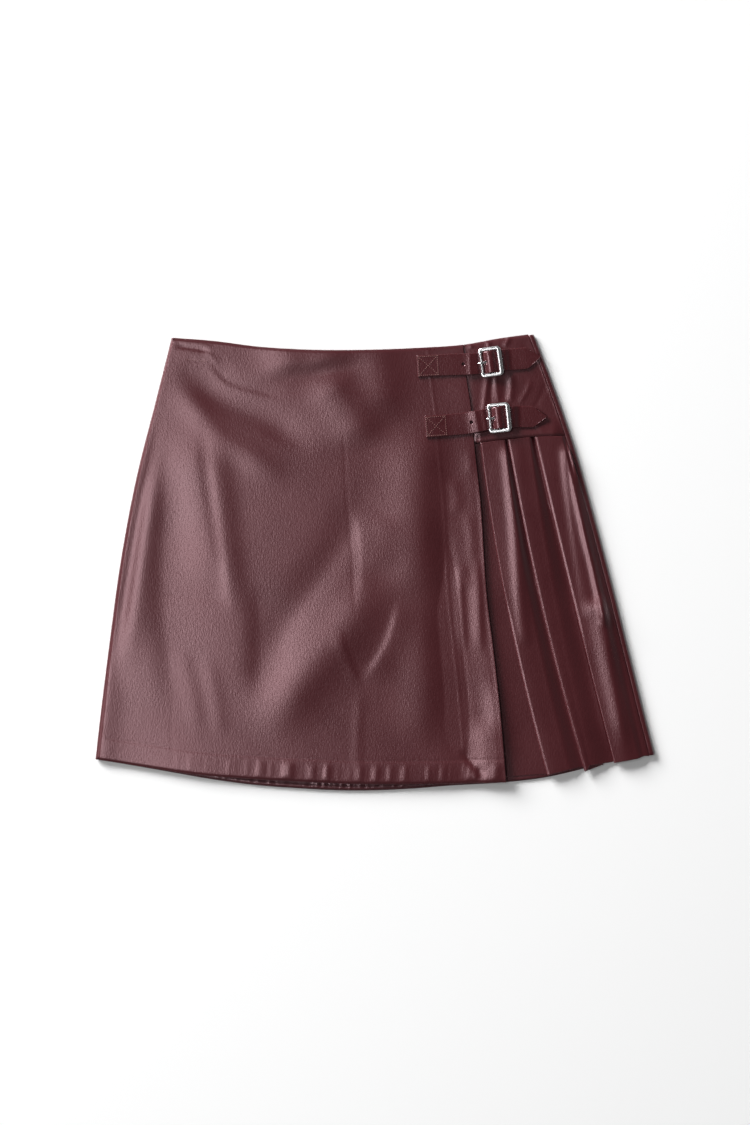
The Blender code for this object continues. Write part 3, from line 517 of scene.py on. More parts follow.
def creases(x, y, rows, taper=0.3):
    """Height that soft ridges and troughs add at x, y; each dies out at its route's ends."""
    total = np.zeros(np.shape(x))
    for height, right_width, left_width, route in rows:
        line = smooth_route(route)
        reach = 3 * max(right_width, left_width)
        near = ((x > line[:, 0].min() - reach) & (x < line[:, 0].max() + reach)
                & (y > line[:, 1].min() - reach) & (y < line[:, 1].max() + reach))
        at_x, at_y = x[near], y[near]
        nearest = np.full(at_x.shape, np.inf)
        side = np.zeros(at_x.shape)
        along = np.zeros(at_x.shape)
        for k, ((x0, y0), (x1, y1)) in enumerate(zip(line, line[1:])):
            run_x, run_y = x1 - x0, y1 - y0
            t = ((at_x - x0) * run_x + (at_y - y0) * run_y) / (run_x ** 2 + run_y ** 2)
            t = np.clip(t, 0.0, 1.0)
            away = np.hypot(at_x - x0 - t * run_x, at_y - y0 - t * run_y)
            closer = away < nearest
            nearest = np.where(closer, away, nearest)
            side = np.where(closer, run_x * (at_y - y0) - run_y * (at_x - x0), side)
            along = np.where(closer, (k + t) / (len(line) - 1), along)
        width = np.where(side > 0, left_width, right_width)
        ends = step_up(0.0, taper, along) * (1 - step_up(1.0 - taper, 1.0, along))
        total[near] += height * ends * bell(nearest, width)
    return total


def side_seam(y):
    return right_side(y) - SEAM_SET_IN


def yoke_top(x, y):
    """Height of the yoke's plain outer face."""
    climb = (YOKE_LOW + (YOKE_AT_WRAP - YOKE_LOW) * step_up(*YOKE_CLIMB[:2], x)
             + (SIDE_HEIGHT - YOKE_AT_WRAP) * step_up(*YOKE_CLIMB[1:], x))
    over_pleats = step_up(*ON_PLEATS, x) * (1 - step_up(*OFF_PLEATS, x))
    above_seam = y - smooth(YOKE_SEAM, x)
    return climb + SEAM_RISE * over_pleats * (1 - step_up(0.0, SEAM_RISE_DEPTH, above_seam))


def yoke_surface(x, y):
    """The yoke's outer face with its pulls, and its turned top and lower edges."""
    z = yoke_top(x, y) + creases(x, y, YOKE_PULLS)
    shown = step_up(YOKE_SHOWS[0], YOKE_SHOWS[2], x)
    z -= EDGE_ROLL * shown * bell(waist_line(x) - y, EDGE_ROLL_WIDTH)
    z -= EDGE_ROLL * bell(y - smooth(YOKE_SEAM, x), EDGE_ROLL_WIDTH)
    beside_seam = bell(side_seam(y) - SEAM_RIDGE_IN - x, SEAM_RIDGE_WIDTH)
    return z + SEAM_RIDGE * beside_seam * (1 - step_up(*SEAM_RIDGE_ENDS, y))


def crowded(count, *places, density=4.0, width=0.02):
    """Stations from 0 to 1, closer together near the given places."""
    s = np.linspace(0.0, 1.0, 4001)
    weight = 1.0 + sum(density * bell(s - at, width) for at in places)
    total = np.concatenate([[0.0], np.cumsum((weight[1:] + weight[:-1]) / 2)])
    return np.interp(np.linspace(0.0, total[-1], count), total, s)


def yoke_waist(x):
    return waist_line(x) - TUCK * (1 - step_up(*YOKE_SHOWS[:2], x))


def yoke_lower(x):
    return smooth(YOKE_SEAM, x) + SEAM_GAP / 2


left = panel_side(lambda y: YOKE_LEFT + YOKE_LEFT_LEAN * (YOKE_TOP_Y[0] - y),
                  YOKE_TOP_Y[0], YOKE_SEAM_Y)
right = panel_side(lambda y: side_seam(y) - SEAM_GAP,
                   YOKE_TOP_Y[1], float(smooth(YOKE_SEAM, SEAM_END_X)))
u, v = np.meshgrid(np.linspace(0.0, 1.0, 131), crowded(121, 0.0, 1.0), indexing="ij")
x, y = panel_plan(left, right, yoke_waist, yoke_lower, u, v)
hip_yoke = shell("yoke_leather", np.stack([x, y, yoke_surface(x, y)], axis=-1), SKIN, skirt_leather)
wear(hip_yoke, "leather", "hip_yoke")

# ---- Pleated panel --------------------------------------------------------------------
# One width of leather, pressed into three knife pleats that open towards the hem. The
# top is caught under the yoke and the right end is sewn in the side seam.
PLEAT_LEVELS = (2.1, 3.6, 5.1)   # heights of the three layers' middles
PLEAT_FOLD = 0.75
PLEAT_DEPTH_TOP = 14.5
PLEAT_DEPTH_HEM = 18.6
PLEAT_START = (60.1, 84.4)
PLEAT_INSET = 1.35               # a fold's centre lies this far inside its edge
# Fold edges, columns: x at the seam, x at the hem, bow, hem y at the fold,
# hem y where the face runs under the next pleat, crest height at the hem, x where the
# face starts down at the seam and at the hem, shares of its length where its edge is crisp
# (1.2 is past the hem)
PLEATS = (
    (101.8, 166.5, -6.3, -205.8, -197.9, 0.2, 125.0, 186.6, 0.52, 1.2),
    (128.0, 202.7, -4.8, -202.1, -193.1, 0.2, 149.0, 208.0, 0.0, 1.2),
    (154.2, 231.2, -1.5, -194.0, -187.3, 0.4, 180.5, 254.0, 0.0, 0.6),
)
FIRST_FACE_HEM = (-210.6, -199.6)
UNDER_STEP = 2.0
LAST_FACE = (SEAM_END_X, 260.8, 1.6)
FACE_LIFT = 0.6                  # middle of the leather below a face's top, at the side
# Soft rolls down the faces that show, in the columns of the yoke's pulls
PLEAT_ROLLS = (
    (2.0, 8, 18, ((94, 113), (98, 60), (103, 0), (108, -50), (115, -100), (121, -150),
                  (127, -215))),
    (0.6, 14, 8, ((130, 128), (134, 70), (137, 35), (138, 0), (139, -40), (142, -85))),
    (1.2, 7, 8, ((129, 128), (133, 70), (136, 35), (137, 0), (138, -40), (141, -85))),
    (1.3, 5.5, 13, ((184, 118), (186, 80), (189, 55), (193, 25), (197, -5), (201, -32),
                    (205, -60))),
    (2.3, 5, 5, ((188, 125), (193, 100), (196, 70), (201, 45), (206, 20), (211, 0), (215, -20),
                 (220, -42), (224, -65))),
    (2.3, 16, 8, ((214, -30), (222, -70), (227, -105), (233, -140), (239, -180), (243, -215))),
    (0.5, 1.6, 1.4, ((187, 122), (192, 107), (198, 86))),
)
FACE_TILT = 0.2                  # a face falls twice this from its crisp fold to its next drop
CRISP_EASE = 0.1                 # share of a face's length over which its edge turns crisp
TILT_EASE = 0.05                 # share of its width over which the tilt grows
ROLL_TAPER = 0.08
ROLLS_FROM = 0.05                # shares of the length where the rolls start and fade
ROLLS_FADE = (0.86, 1.0)


def pleat_stations():
    """Stations along the cloth's middle, left to right through the pleats.

    Each is x at the seam, x at the hem, bow, y at the hem, z, the crest's rise, how much
    of the rolls it takes, the tilt's rise and where down the pleat the tilt starts and ends.
    """
    low, middle, high = PLEAT_LEVELS
    stations = []

    def face(start, end, count, crest=0.0, shown=(0.0, 0.0), tilt=0.0, crisp=(0.0, 1.2)):
        for t in np.linspace(0.0, 1.0, count)[1:]:
            place = [between(a, b, t) for a, b in zip(start, end)]
            eased = float(step_up(0.0, 1.0, t))
            place[4] = between(start[4], end[4], eased)
            lean = between(tilt, 0.0, eased) * float(step_up(0.0, TILT_EASE, t))
            stations.append((*place, crest * math.sin(math.pi * t), between(*shown, eased),
                             lean, *crisp))

    def fold(place, towards, z):
        for angle in np.linspace(-math.pi / 2, math.pi / 2, 11)[1:]:
            out = towards * PLEAT_FOLD * math.cos(angle)
            stations.append((place[0] + out, place[1] + out, place[2], place[3],
                             z + PLEAT_FOLD * math.sin(angle), 0.0, 0.0, 0.0, 0.0, 1.2))

    place = (*PLEAT_START, 0.0, FIRST_FACE_HEM[0], low)
    stations.append((*place, 0.0, 1.0, 0.0, 0.0, 1.2))
    under_y = FIRST_FACE_HEM[1]
    for pleat, after in zip(PLEATS, PLEATS[1:] + (None,)):
        x, hem_x, bow, hem_y, next_under_y, crest, drop_x, drop_hem_x, *crisp = pleat
        deep = (x + PLEAT_DEPTH_TOP - PLEAT_INSET, hem_x + PLEAT_DEPTH_HEM - PLEAT_INSET,
                bow, under_y)
        edge = (x + PLEAT_INSET, hem_x + PLEAT_INSET, bow, hem_y)
        turn = (x, hem_x, bow, place[3] + 0.5 * (under_y - place[3]), low)
        face(place, turn, 24, shown=(1.0, 0.0))
        face(turn, (*deep, low), 10)
        fold(deep, 1, (low + middle) / 2)
        face((*deep, middle), (*edge, middle), 10)
        fold(edge, -1, (middle + high) / 2)
        drop = (drop_x, drop_hem_x, bow, hem_y + 0.6 * (next_under_y - hem_y), high)
        face((*edge, high), drop, 26 if after else 30, crest, (0.0, 1.0), 2 * FACE_TILT, crisp)
        if after:
            place = (after[0] - FACE_LIFT, after[1] - FACE_LIFT, after[2], next_under_y, low)
            under_y = next_under_y + UNDER_STEP
        else:
            place = (LAST_FACE[0], LAST_FACE[1], LAST_FACE[2], next_under_y,
                     SIDE_HEIGHT - FACE_LIFT)
        face(drop, place, 14 if after else 31, 0.0, (1.0, 1.0), 0.0, crisp)
    return np.array(stations)


stations = pleat_stations()
v = crowded(179, 0.0, 1.0, density=2.0)[None]
x_top, x_hem, bow, y_hem, z, crest, share, tilt, crisp, crisp_end = stations.T[..., None]
y_top = smooth(YOKE_SEAM, x_top) - SEAM_GAP / 2
y = between(y_top, y_hem, v)
x = between(x_top, x_hem, v) + bow * 4 * v * (1 - v)
x[-1] = side_seam(y[-1]) - SEAM_GAP
caught = step_up(0.0, ROLLS_FROM, v) * (1 - 0.9 * step_up(*ROLLS_FADE, v))
z = z + crest * v + share * caught * creases(x, y, PLEAT_ROLLS, ROLL_TAPER)
z += (tilt * step_up(crisp - CRISP_EASE, crisp + CRISP_EASE, v)
      * (1 - step_up(crisp_end - CRISP_EASE, crisp_end + CRISP_EASE, v)))
middle = np.stack([x, y, z], axis=-1)
normal = unit(np.cross(np.gradient(middle, axis=1), np.gradient(middle, axis=0)))
pleated_panel = shell("pleats_leather", middle + normal * SKIN / 2, SKIN, skirt_leather, skip=2)
wear(pleated_panel, "leather", "pleated_panel")

# ---- Front wrap -----------------------------------------------------------------------
# The wide front panel, folded down at the left side and free at its wrap edge. Its waist,
# hem and wrap edge are turned in and pressed, and wear has left long soft folds in it.
WRAP_EDGE = (
    (211.0, 85.4), (181.4, 88.3), (147.4, 93.3), (109.1, 96.7), (65.5, 101.6),
    (-39.6, 109.1), (-86.6, 115.0), (-134.3, 120.3), (-212.9, 127.1),
)
FRONT_HEM = (
    (-270.8, -190.6), (-214.9, -199.5), (-167.3, -206.1), (-122.8, -209.6),
    (-71.8, -212.5), (-18.4, -214.6), (43.6, -214.8), (127.1, -212.9),
)
WRAP_TOP = 4.2
# Columns: y, lift of the wrap's free edge over the layers under it
WRAP_LIFT = (
    (211.0, 0.5), (192.0, 0.5), (165.0, 0.9), (136.0, 0.9), (113.0, 1.4),
    (50.0, 1.5), (-60.0, 1.7), (-150.0, 2.1), (-213.0, 2.3),
)
WRAP_LIFT_WIDTH = 20.0
HEM_LIFT = 1.2
HEM_LIFT_DEPTH = 28.0
HEM_LIFT_FROM_LEFT = (30.0, 110.0)
HEM_LIFT_ENDS = (60.0, 115.0)
FOLD_FADE = 26.0
TROUGH_DEPTH = 1.3               # the deepest a fold goes, left of where it rides the pleats
TROUGH_ENDS = (20.0, 60.0)
FACING = 35.0                    # width of the turned-in strip at the wrap edge
FRONT_TURNING = 21.5             # depth of the turned-up hem
# Long folds that show from across a room, in the columns of the yoke's pulls
FOLDS = (
    (2.2, 25, 24, ((14, 0), (-2, -32), (-25, -61), (-49, -89), (-71, -115), (-91, -145),
                   (-113, -179))),
    (-0.8, 18, 14, ((-6, 80), (-22, 40), (-44, 2), (-70, -34), (-92, -70), (-104, -112))),
    (0.6, 14, 16, ((11, 50), (8, 30), (5, 10), (2, -15))),
    (2.5, 31, 24, ((45, 150), (43, 100), (42, 60), (42, 10), (41, -25), (40, -60))),
    (1.1, 22, 16, ((41, -20), (44, -70), (48, -130), (42, -190))),
    (0.6, 24, 30, ((52, 205), (54, 160), (57, 110), (60, 80))),
    (-0.9, 12, 8, ((62, 84), (65, 55), (68, 20), (71, -20), (74, -75), (80, -130), (86, -225))),
    (1.1, 7, 18, ((-212, 108), (-217, 75), (-223, 40), (-229, 0), (-234, -35), (-240, -70),
                  (-243, -110))),
    (-0.8, 14, 38, ((-193, 150), (-200, 100), (-202, 50), (-204, 0), (-202, -50), (-198, -90),
                    (-194, -130), (-190, -170))),
    (1.1, 22, 12, ((-178, 145), (-173, 85), (-166, 40), (-159, 0), (-156, -36))),
    (1.1, 9, 13, ((-160, 140), (-153, 85), (-147, 40), (-142, 0), (-139, -30), (-135, -60))),
    (-0.9, 13, 26, ((-112, -10), (-110, -60), (-110, -100), (-112, -138))),
    (-1.3, 14, 18, ((-190, 205), (-180, 185), (-165, 170), (-140, 154), (-105, 138),
                    (-78, 122), (-52, 106))),
    (0.9, 14, 12, ((-194, 180), (-172, 148), (-150, 122), (-122, 104), (-98, 88), (-80, 74))),
    (1.8, 24, 20, ((-53, 190), (-33, 158), (-18, 136), (-10, 106))),
    (1.6, 22, 20, ((-96, 240), (-88, 205), (-80, 178))),
    (2.3, 30, 28, ((-52, 240), (-48, 205), (-44, 182))),
    (1.7, 24, 22, ((-2, 240), (2, 205), (7, 170), (12, 128))),
)
# Dents and bumps left by handling
DENTS = (
    (-0.35, 6, 7, ((-207, 150), (-214, 110), (-223, 70), (-236, 0), (-246, -55), (-252, -100))),
    (0.7, 5, 14, ((27, -32), (13, -80), (-12, -120))),
    (0.3, 8, 4, ((-38, -62), (-28, -92), (-14, -122))),
    (0.4, 6, 13, ((-19, 62), (-12, 20), (-11, -10), (-13, -50))),
    (0.2, 5, 5, ((-14, -118), (-17, -167), (-17, -215))),
    (-0.35, 3, 12, ((-162, 200), (-152, 185), (-142, 176), (-120, 168), (-82, 159))),
    (0.2, 5, 6, ((90, 110), (92, 98), (91, 84))),
    (0.4, 6, 7, ((74, 84), (79, 62), (78, 44))),
    (0.2, 5, 5, ((88, 52), (93, 24), (93, -4))),
    (0.3, 6, 5, ((84, 0), (88, -18), (90, -28))),
    (0.6, 7, 4, ((97, 10), (100, -25), (101, -60), (102, -95))),
    (0.5, 6, 4, ((81, 8), (83, -40), (87, -95))),
    (0.9, 10, 24, ((113, -105), (119, -140), (123, -180), (126, -222))),
    (1.3, 12, 14, ((103, -145), (107, -172), (109, -200), (111, -235))),
    (0.25, 10, 8, ((-193, -75), (-178, -124), (-170, -177))),
    (0.25, 9, 8, ((-164, -85), (-154, -133), (-148, -177))),
    (-0.8, 3.5, 6, ((82, -180), (90, -190), (98, -199), (108, -210))),
    (0.2, 3, 2.5, ((-193, 213), (-174, 211), (-154, 208))),
    (-0.45, 2.5, 3, ((-196, 210), (-175, 207.5), (-158, 204))),
    (0.15, 3, 3, ((-167, 205), (-159, 200), (-150, 191))),
)
# Pressed lines of turned edges and of old folds
PRESS_LINES = (
    (-0.07, 1.6, 1.6, ((-31, 133), (-27, 61), (-22, 2), (-19, -61))),
    (-0.05, 1.4, 1.4, ((-148, 178), (-121, 170), (-53, 166), (48, 169))),
    (-0.05, 1.4, 1.4, ((-81, 112), (-24, 110), (48, 113))),
    (-0.12, 1.4, 3.0, ((-206, -31), (-170, -35), (-137, -41))),
    (-0.05, 1.4, 1.4, ((-201, -82), (-170, -84), (-135, -83))),
    (-0.05, 1.4, 1.4, ((-196, -133), (-197, -167), (-196, -199))),
    (-0.12, 1.3, 1.3, ((-182, 197), (-173, 195), (-164, 196))),
)
# The left side's fold stands up a little, over a width that grows below this y
SIDE_ROLL = (0.05, 0.8)
SIDE_ROLL_WIDTH = (4.5, 14.0)
SIDE_ROLL_WIDENS = -90.0
SIDE_ROLL_EASE = 50.0
# Strong puckers in the turned-up hem, columns: x, height, width
HEM_PUCKERS = (
    (-112.0, 0.35, 3.2), (-84.0, 0.65, 5.0), (-62.0, 0.30, 3.0), (-47.0, 0.40, 3.2),
    (-15.0, 0.40, 2.8), (0.0, 0.40, 2.6), (14.0, 0.35, 2.6), (28.0, 0.35, 2.8),
    (52.0, 0.35, 3.0), (66.0, 0.25, 2.6), (94.0, 0.60, 6.0), (116.0, 0.40, 5.0),
)
DENTS_FROM = (2.0, 8.0)          # distances from the left side over which things begin
ROLL_FROM = (1.5, 4.0)
HEM_FROM = (3.0, 14.0)
ROLL_CREST = 3.0
PRESS_TAPER = 0.12
PUCKER_FROM = (0.0, 7.0)         # distances from the hem where puckers begin and end
PUCKER_TO = (FRONT_TURNING - 9.0, FRONT_TURNING + 1.0)
HEM_STEP_AT = (FRONT_TURNING - 1.5, FRONT_TURNING + 1.0)
FINE_RIPPLES = random_ripples(11, 52, -196.0, (4.0, 7.5), (0.03, 0.20), (1.5, 2.6))
RIPPLE_SLANT = 0.06
HEM_STEP = 0.18                  # the doubled hem stands this much higher
HEM_GROOVE = (0.12, 1.0, 1.1)    # depth, distance above the turning, width
FACING_WIDENS = 4.0
FACING_FROM = (200.0, -200.0)
FACING_RIDGE = (0.10, 1.3, 2.0)  # height, width to the left and to the right
WRAP_RIM = (0.30, 2.6)           # height and width of the ridge at the free edge
WRAP_RIM_ENDS = (50.0, 100.0)


front_hem, wrap_edge = map(line_of, (FRONT_HEM, WRAP_EDGE))


def wrap_top(x, y):
    """Height of the front wrap's outer face, with its folds and its lifted edges."""
    edge = wrap_edge(y) - x
    lift = smooth(WRAP_LIFT, y) * bell(np.maximum(edge, 0.0), WRAP_LIFT_WIDTH)
    from_left = x - left_side(y)
    above_hem = y - front_hem(x)
    lift += (HEM_LIFT * bell(above_hem, HEM_LIFT_DEPTH)
             * step_up(*HEM_LIFT_FROM_LEFT, from_left) * (1 - step_up(*HEM_LIFT_ENDS, x)))
    folds = creases(x, y, FOLDS) * step_up(0.0, FOLD_FADE, from_left)
    lowest = WRAP_TOP - TROUGH_DEPTH * (1 - step_up(*TROUGH_ENDS, x))
    return np.maximum(WRAP_TOP + lift + folds, lowest)


def front_surface(x, y):
    """The front's outer face, down to its small dents, pressed lines and hem ripples."""
    z = wrap_top(x, y)
    from_left = x - left_side(y)
    z += creases(x, y, DENTS) * step_up(*DENTS_FROM, from_left)
    z += creases(x, y, PRESS_LINES, PRESS_TAPER)
    low_down = step_up(SIDE_ROLL_WIDENS, SIDE_ROLL_WIDENS - SIDE_ROLL_EASE, y)
    past_roll = np.maximum(from_left - ROLL_CREST, 0.0)
    z += (between(*SIDE_ROLL, low_down) * step_up(*ROLL_FROM, from_left)
          * bell(past_roll, between(*SIDE_ROLL_WIDTH, low_down)))
    above_hem = y - front_hem(x)
    in_hem = step_up(*PUCKER_FROM, above_hem) * (1 - step_up(*PUCKER_TO, above_hem))
    z += ripples(x - RIPPLE_SLANT * above_hem, (*HEM_PUCKERS, *FINE_RIPPLES)) * in_hem
    flat_side = step_up(*HEM_FROM, from_left)
    z += HEM_STEP * (1 - step_up(*HEM_STEP_AT, above_hem)) * flat_side
    depth, above, width = HEM_GROOVE
    z -= depth * bell(above_hem - FRONT_TURNING - above, width) * flat_side
    edge = wrap_edge(y) - x
    from_line = edge - (FACING + FACING_WIDENS * step_up(*FACING_FROM, y))
    height, left_width, right_width = FACING_RIDGE
    z += height * bell(from_line, np.where(from_line > 0.0, left_width, right_width))
    z += WRAP_RIM[0] * bell(edge, WRAP_RIM[1]) * (1 - step_up(*WRAP_RIM_ENDS, y))
    z -= EDGE_ROLL * bell(waist_line(x) - y, EDGE_ROLL_WIDTH)
    return z - EDGE_ROLL * bell(above_hem, EDGE_ROLL_WIDTH)


angles = side_fold_angles(12)
across_u = crowded(245, 1.0, density=1.5, width=0.12)[1:]
front_edges = (side_ends(LEFT_SIDE), side_ends(WRAP_EDGE), waist_line, front_hem)
v = crowded(265, 0.0, 1.0, density=1.5, width=0.05)[None]
x_left, x_right = (panel_plan(*front_edges, side, v)[0] for side in (0.0, 1.0))
shift = (SIDE_FOLD * (1 - np.cos(angles)))[:, None]
_, fold_y = panel_plan(*front_edges, shift / (x_right - x_left), v)
fold_x = left_side(fold_y) + shift
fold_z = SIDE_FOLD * (1 + np.sin(angles))[:, None] + 0.0 * fold_x
flat_x, flat_y = panel_plan(*front_edges, across_u[:, None], v)
flat_z = front_surface(flat_x, flat_y)
outer = np.concatenate([np.stack([fold_x, fold_y, fold_z], axis=-1),
                        np.stack([flat_x, flat_y, flat_z], axis=-1)])
front_wrap = shell("front_leather", outer, SKIN, skirt_leather, skip=3, ghost=1)
wear(front_wrap, "leather", "front_wrap_panel")

# ---- Straps ---------------------------------------------------------------------------
# Two pointed straps of the same leather, doubled and pressed. Each is sewn to the front
# wrap by a crossed box of stitches, runs under the buckle's bars and over its centre bar,
# and has one spare hole.
STRAP_SKIN = 1.2
STRAP_WIDTH = 21.2
STRAP_SHOULDER = 13.5
STRAP_CROWN = 0.18
STRAP_BRIDGES = 14               # samples over which a strap bridges and eases its bed
STRAP_EASES = 8
STRAP_SAMPLE = 0.5
HOLE_RADIUS = 1.6
TAB_LENGTH = 13.0
WEAVE_FROM = (-20.0, -13.0)      # distances from the centre bar where the weave takes over
WEAVE_TO = (17.0, 22.0)
BULGE_TO = (-9.0, -12.5)
BUCKLE_BED = (12.0, 14.0)        # a buckle rests within this far along and across
# Columns: distance from the centre bar, height of the strap's underside over the yoke
STRAP_WEAVE = (
    (-13.5, 0.7), (-11.0, 0.35), (-9.3, 0.3), (-7.8, 0.45), (-6.2, 1.75), (-4.4, 3.2),
    (-2.6, 4.05), (0.0, 4.3), (2.4, 3.9), (5.0, 2.7), (7.6, 2.35), (9.3, 2.3),
    (11.5, 2.3), (14.2, 2.25), (18.0, 0.9), (22.0, 0.3),
)
# Columns: name, buckle centre x, y, tilt in degrees, distance of the spare hole and of the
# prong's hole from the centre bar, centre line of the strap as x, y, its bulge before the
# buckle as distance from the centre bar, height and width
FASTENINGS = (
    ("upper", 112.0, 194.0, 7.5, -26.6, -4.9, (
        (40.7, 189.7), (61.1, 190.9), (87.3, 191.8), (101.1, 192.6), (112.0, 194.0),
        (122.9, 195.5), (148.4, 197.9), (160.4, 199.8)),
        (-16.0, 0.9, 5.5)),
    ("lower", 119.9, 139.8, 5.5, -27.0, -4.9, (
        (48.5, 131.1), (68.9, 132.7), (89.8, 134.8), (109.0, 138.4), (119.9, 139.8),
        (130.9, 140.7), (155.2, 141.0), (166.5, 141.3)),
        (-19.0, 1.4, 9.0)),
)
BUCKLE_POINT = 4                 # the route's point at the buckle's centre bar

# The straps' leather is a little darker than the skirt's: painted shade on the same leather.
strap_leather = coated_leather("strap_leather", (0.045, 0.0063, 0.0083),
                               (0.059, 0.0090, 0.0113), gloss=0.26)


def layers_top(x, y):
    """Height of what a strap lies on: the front wrap, the yoke or the side seam."""
    on_wrap = np.where(x < wrap_edge(y) + 0.5, wrap_top(x, y), 0.0)
    on_side = np.where(x > side_seam(y) - 4.0, SIDE_HEIGHT, 0.0)
    return np.maximum(np.maximum(on_wrap, yoke_top(x, y)), on_side)


def windowed(values, reach, measure):
    """The measure of the values within reach of each one."""
    padded = np.pad(values, reach, mode="edge")
    return np.array([measure(padded[k:k + 2 * reach + 1]) for k in range(len(values))])


class Fastening:
    """One buckle's own frame: s along the strap, t across it, z above the yoke."""

    def __init__(self, row):
        self.name, self.x, self.y, tilt, self.spare_hole, self.prong_hole = row[:6]
        self.route, self.bulge = row[6:]
        angle = math.radians(tilt)
        self.along = np.array((math.cos(angle), math.sin(angle), 0.0))
        self.across = np.array((-math.sin(angle), math.cos(angle), 0.0))
        self.up = np.array((0.0, 0.0, 1.0))
        s, t = np.meshgrid(np.linspace(-BUCKLE_BED[0], TAB_LENGTH, 14),
                           np.linspace(-BUCKLE_BED[1], BUCKLE_BED[1], 11))
        under = yoke_top(self.x + s * self.along[0] + t * self.across[0],
                         self.y + s * self.along[1] + t * self.across[1])
        self.rest = float(under[:, 3:].max())
        lengths, (self.line_x, self.line_y) = by_distance(self.route)
        self.bar_at, self.tip = lengths[BUCKLE_POINT], lengths[-1]
        self.samples = np.arange(-3.0, self.tip + 3.0, STRAP_SAMPLE)
        self.under = self.underlying()

    def place(self, s, t, z):
        return (np.array((self.x, self.y, self.rest)) + self.along * s + self.across * t
                + self.up * z)

    def underlying(self):
        """Highest point under the strap's width, eased along its length."""
        lanes = np.linspace(-STRAP_WIDTH / 2, STRAP_WIDTH / 2, 7)[:, None]
        x, y = smooth(self.line_x, self.samples), smooth(self.line_y, self.samples)
        highest = layers_top(x + 0 * lanes, y + lanes).max(axis=0)
        return windowed(windowed(highest, STRAP_BRIDGES, np.max), STRAP_EASES, np.mean)

    def bottom(self, s):
        """Underside of the strap: the weave round the buckle, else resting."""
        resting = np.interp(s, self.samples, self.under) + SEAM_GAP
        from_bar = s - self.bar_at
        held = np.clip(from_bar, STRAP_WEAVE[0][0], STRAP_WEAVE[-1][0])
        woven = self.rest + smooth(STRAP_WEAVE, held)
        share = step_up(*WEAVE_FROM, from_bar) * (1 - step_up(*WEAVE_TO, from_bar))
        at, height, width = self.bulge
        bulge = height * bell(from_bar - at, width) * step_up(*BULGE_TO, from_bar)
        return between(resting, woven, share) + bulge

    def on_strap(self, s, t, rise=0.0):
        """Points on the strap's top at s along its line and t across it."""
        s, t = np.broadcast_arrays(np.asarray(s, float), np.asarray(t, float))
        ahead_x = smooth(self.line_x, s + 0.5) - smooth(self.line_x, s - 0.5)
        ahead_y = smooth(self.line_y, s + 0.5) - smooth(self.line_y, s - 0.5)
        length = np.hypot(ahead_x, ahead_y)
        crown = STRAP_CROWN * np.clip(1 - (2 * t / STRAP_WIDTH) ** 6, 0.0, 1.0)
        return np.stack([smooth(self.line_x, s) - t * ahead_y / length,
                         smooth(self.line_y, s) + t * ahead_x / length,
                         self.bottom(s) + STRAP_SKIN + crown + rise], axis=-1)

    def strap(self):
        """The strap from its sewn end, woven through the buckle, to its point."""
        holes = (self.bar_at + self.spare_hole, self.bar_at + self.prong_hole)
        half_hole = (-1.0, -0.5, 0.0, 0.5, 1.0)
        s = list(np.linspace(0.0, self.tip, 150))
        for at in holes:
            s = [k for k in s if abs(k - at) > HOLE_RADIUS + 0.3]
            s += [at + HOLE_RADIUS * k for k in half_hole]
        s = np.array(sorted(s))
        t = np.concatenate([np.linspace(STRAP_WIDTH / 2, HOLE_RADIUS, 13)[:-1],
                            [HOLE_RADIUS * k for k in half_hole[::-1]],
                            np.linspace(-HOLE_RADIUS, -STRAP_WIDTH / 2, 13)[1:]])
        grid_s, grid_t = np.meshgrid(s, t, indexing="ij")
        point = np.clip((self.tip - grid_s) / STRAP_SHOULDER, 0.0, 1.0)
        grid_t = grid_t * (0.06 + 0.94 * point)
        for at in holes:
            off_s = grid_s - at
            square = np.maximum(abs(off_s), abs(grid_t))
            share = 1 - step_up(HOLE_RADIUS, 2.4 * HOLE_RADIUS, square)
            reach = np.maximum(np.hypot(off_s, grid_t), 1e-9)
            round_off = np.where(square > 0, square / reach, 1.0)
            factor = 1 + (round_off - 1) * share
            grid_s, grid_t = at + off_s * factor, grid_t * factor
        reach = HOLE_RADIUS + 1e-6
        cut = {(i, j) for i in range(len(s) - 1) for j in range(len(t) - 1)
               if any(at - reach < s[i] and s[i + 1] < at + reach for at in holes)
               and t[j] < reach and t[j + 1] > -reach}
        made = shell(f"strap_{self.name}_leather", self.on_strap(grid_s, grid_t), STRAP_SKIN,
                     strap_leather, cut=cut)
        return wear(made, "strap_leather", f"strap_{self.name}")


fastenings = [Fastening(row) for row in FASTENINGS]
for fastening in fastenings:
    strap = fastening.strap()
    fastening.tip * MM
    STRAP_WIDTH * (fastening.tip - STRAP_SHOULDER / 2) * MM * MM

# ---- Buckles --------------------------------------------------------------------------
# Two small polished steel centre-bar buckles: a rounded frame with bevelled faces and a
# roller on its left side, a bar across the middle and a bent prong. A slotted leather tab
# looped round the centre bar holds each of them to the yoke.
BUCKLE_WIDTH = 22.1
BUCKLE_HEIGHT = 28.6
BAR_WIDTH = 4.0
RAIL_WIDTH = 3.2
FRAME_THICK = 1.9
FRAME_LEFT_Z = 2.75
FRAME_RIGHT_Z = 4.9
FRAME_CORNER = 2.2
CENTRE_BAR = 0.7
CENTRE_BAR_Z = 2.0
ROLLER_RADIUS = 1.25
ROLLER_LENGTH = 19.0
ROLLER_CORE = 0.75
TAB_THICK = 0.7
TAB_WIDTH = 15.0
PRONG_WIDTH = 2.0
PRONG_RING = 1.3
PRONG_NARROWS = (-10.2, -12.3)
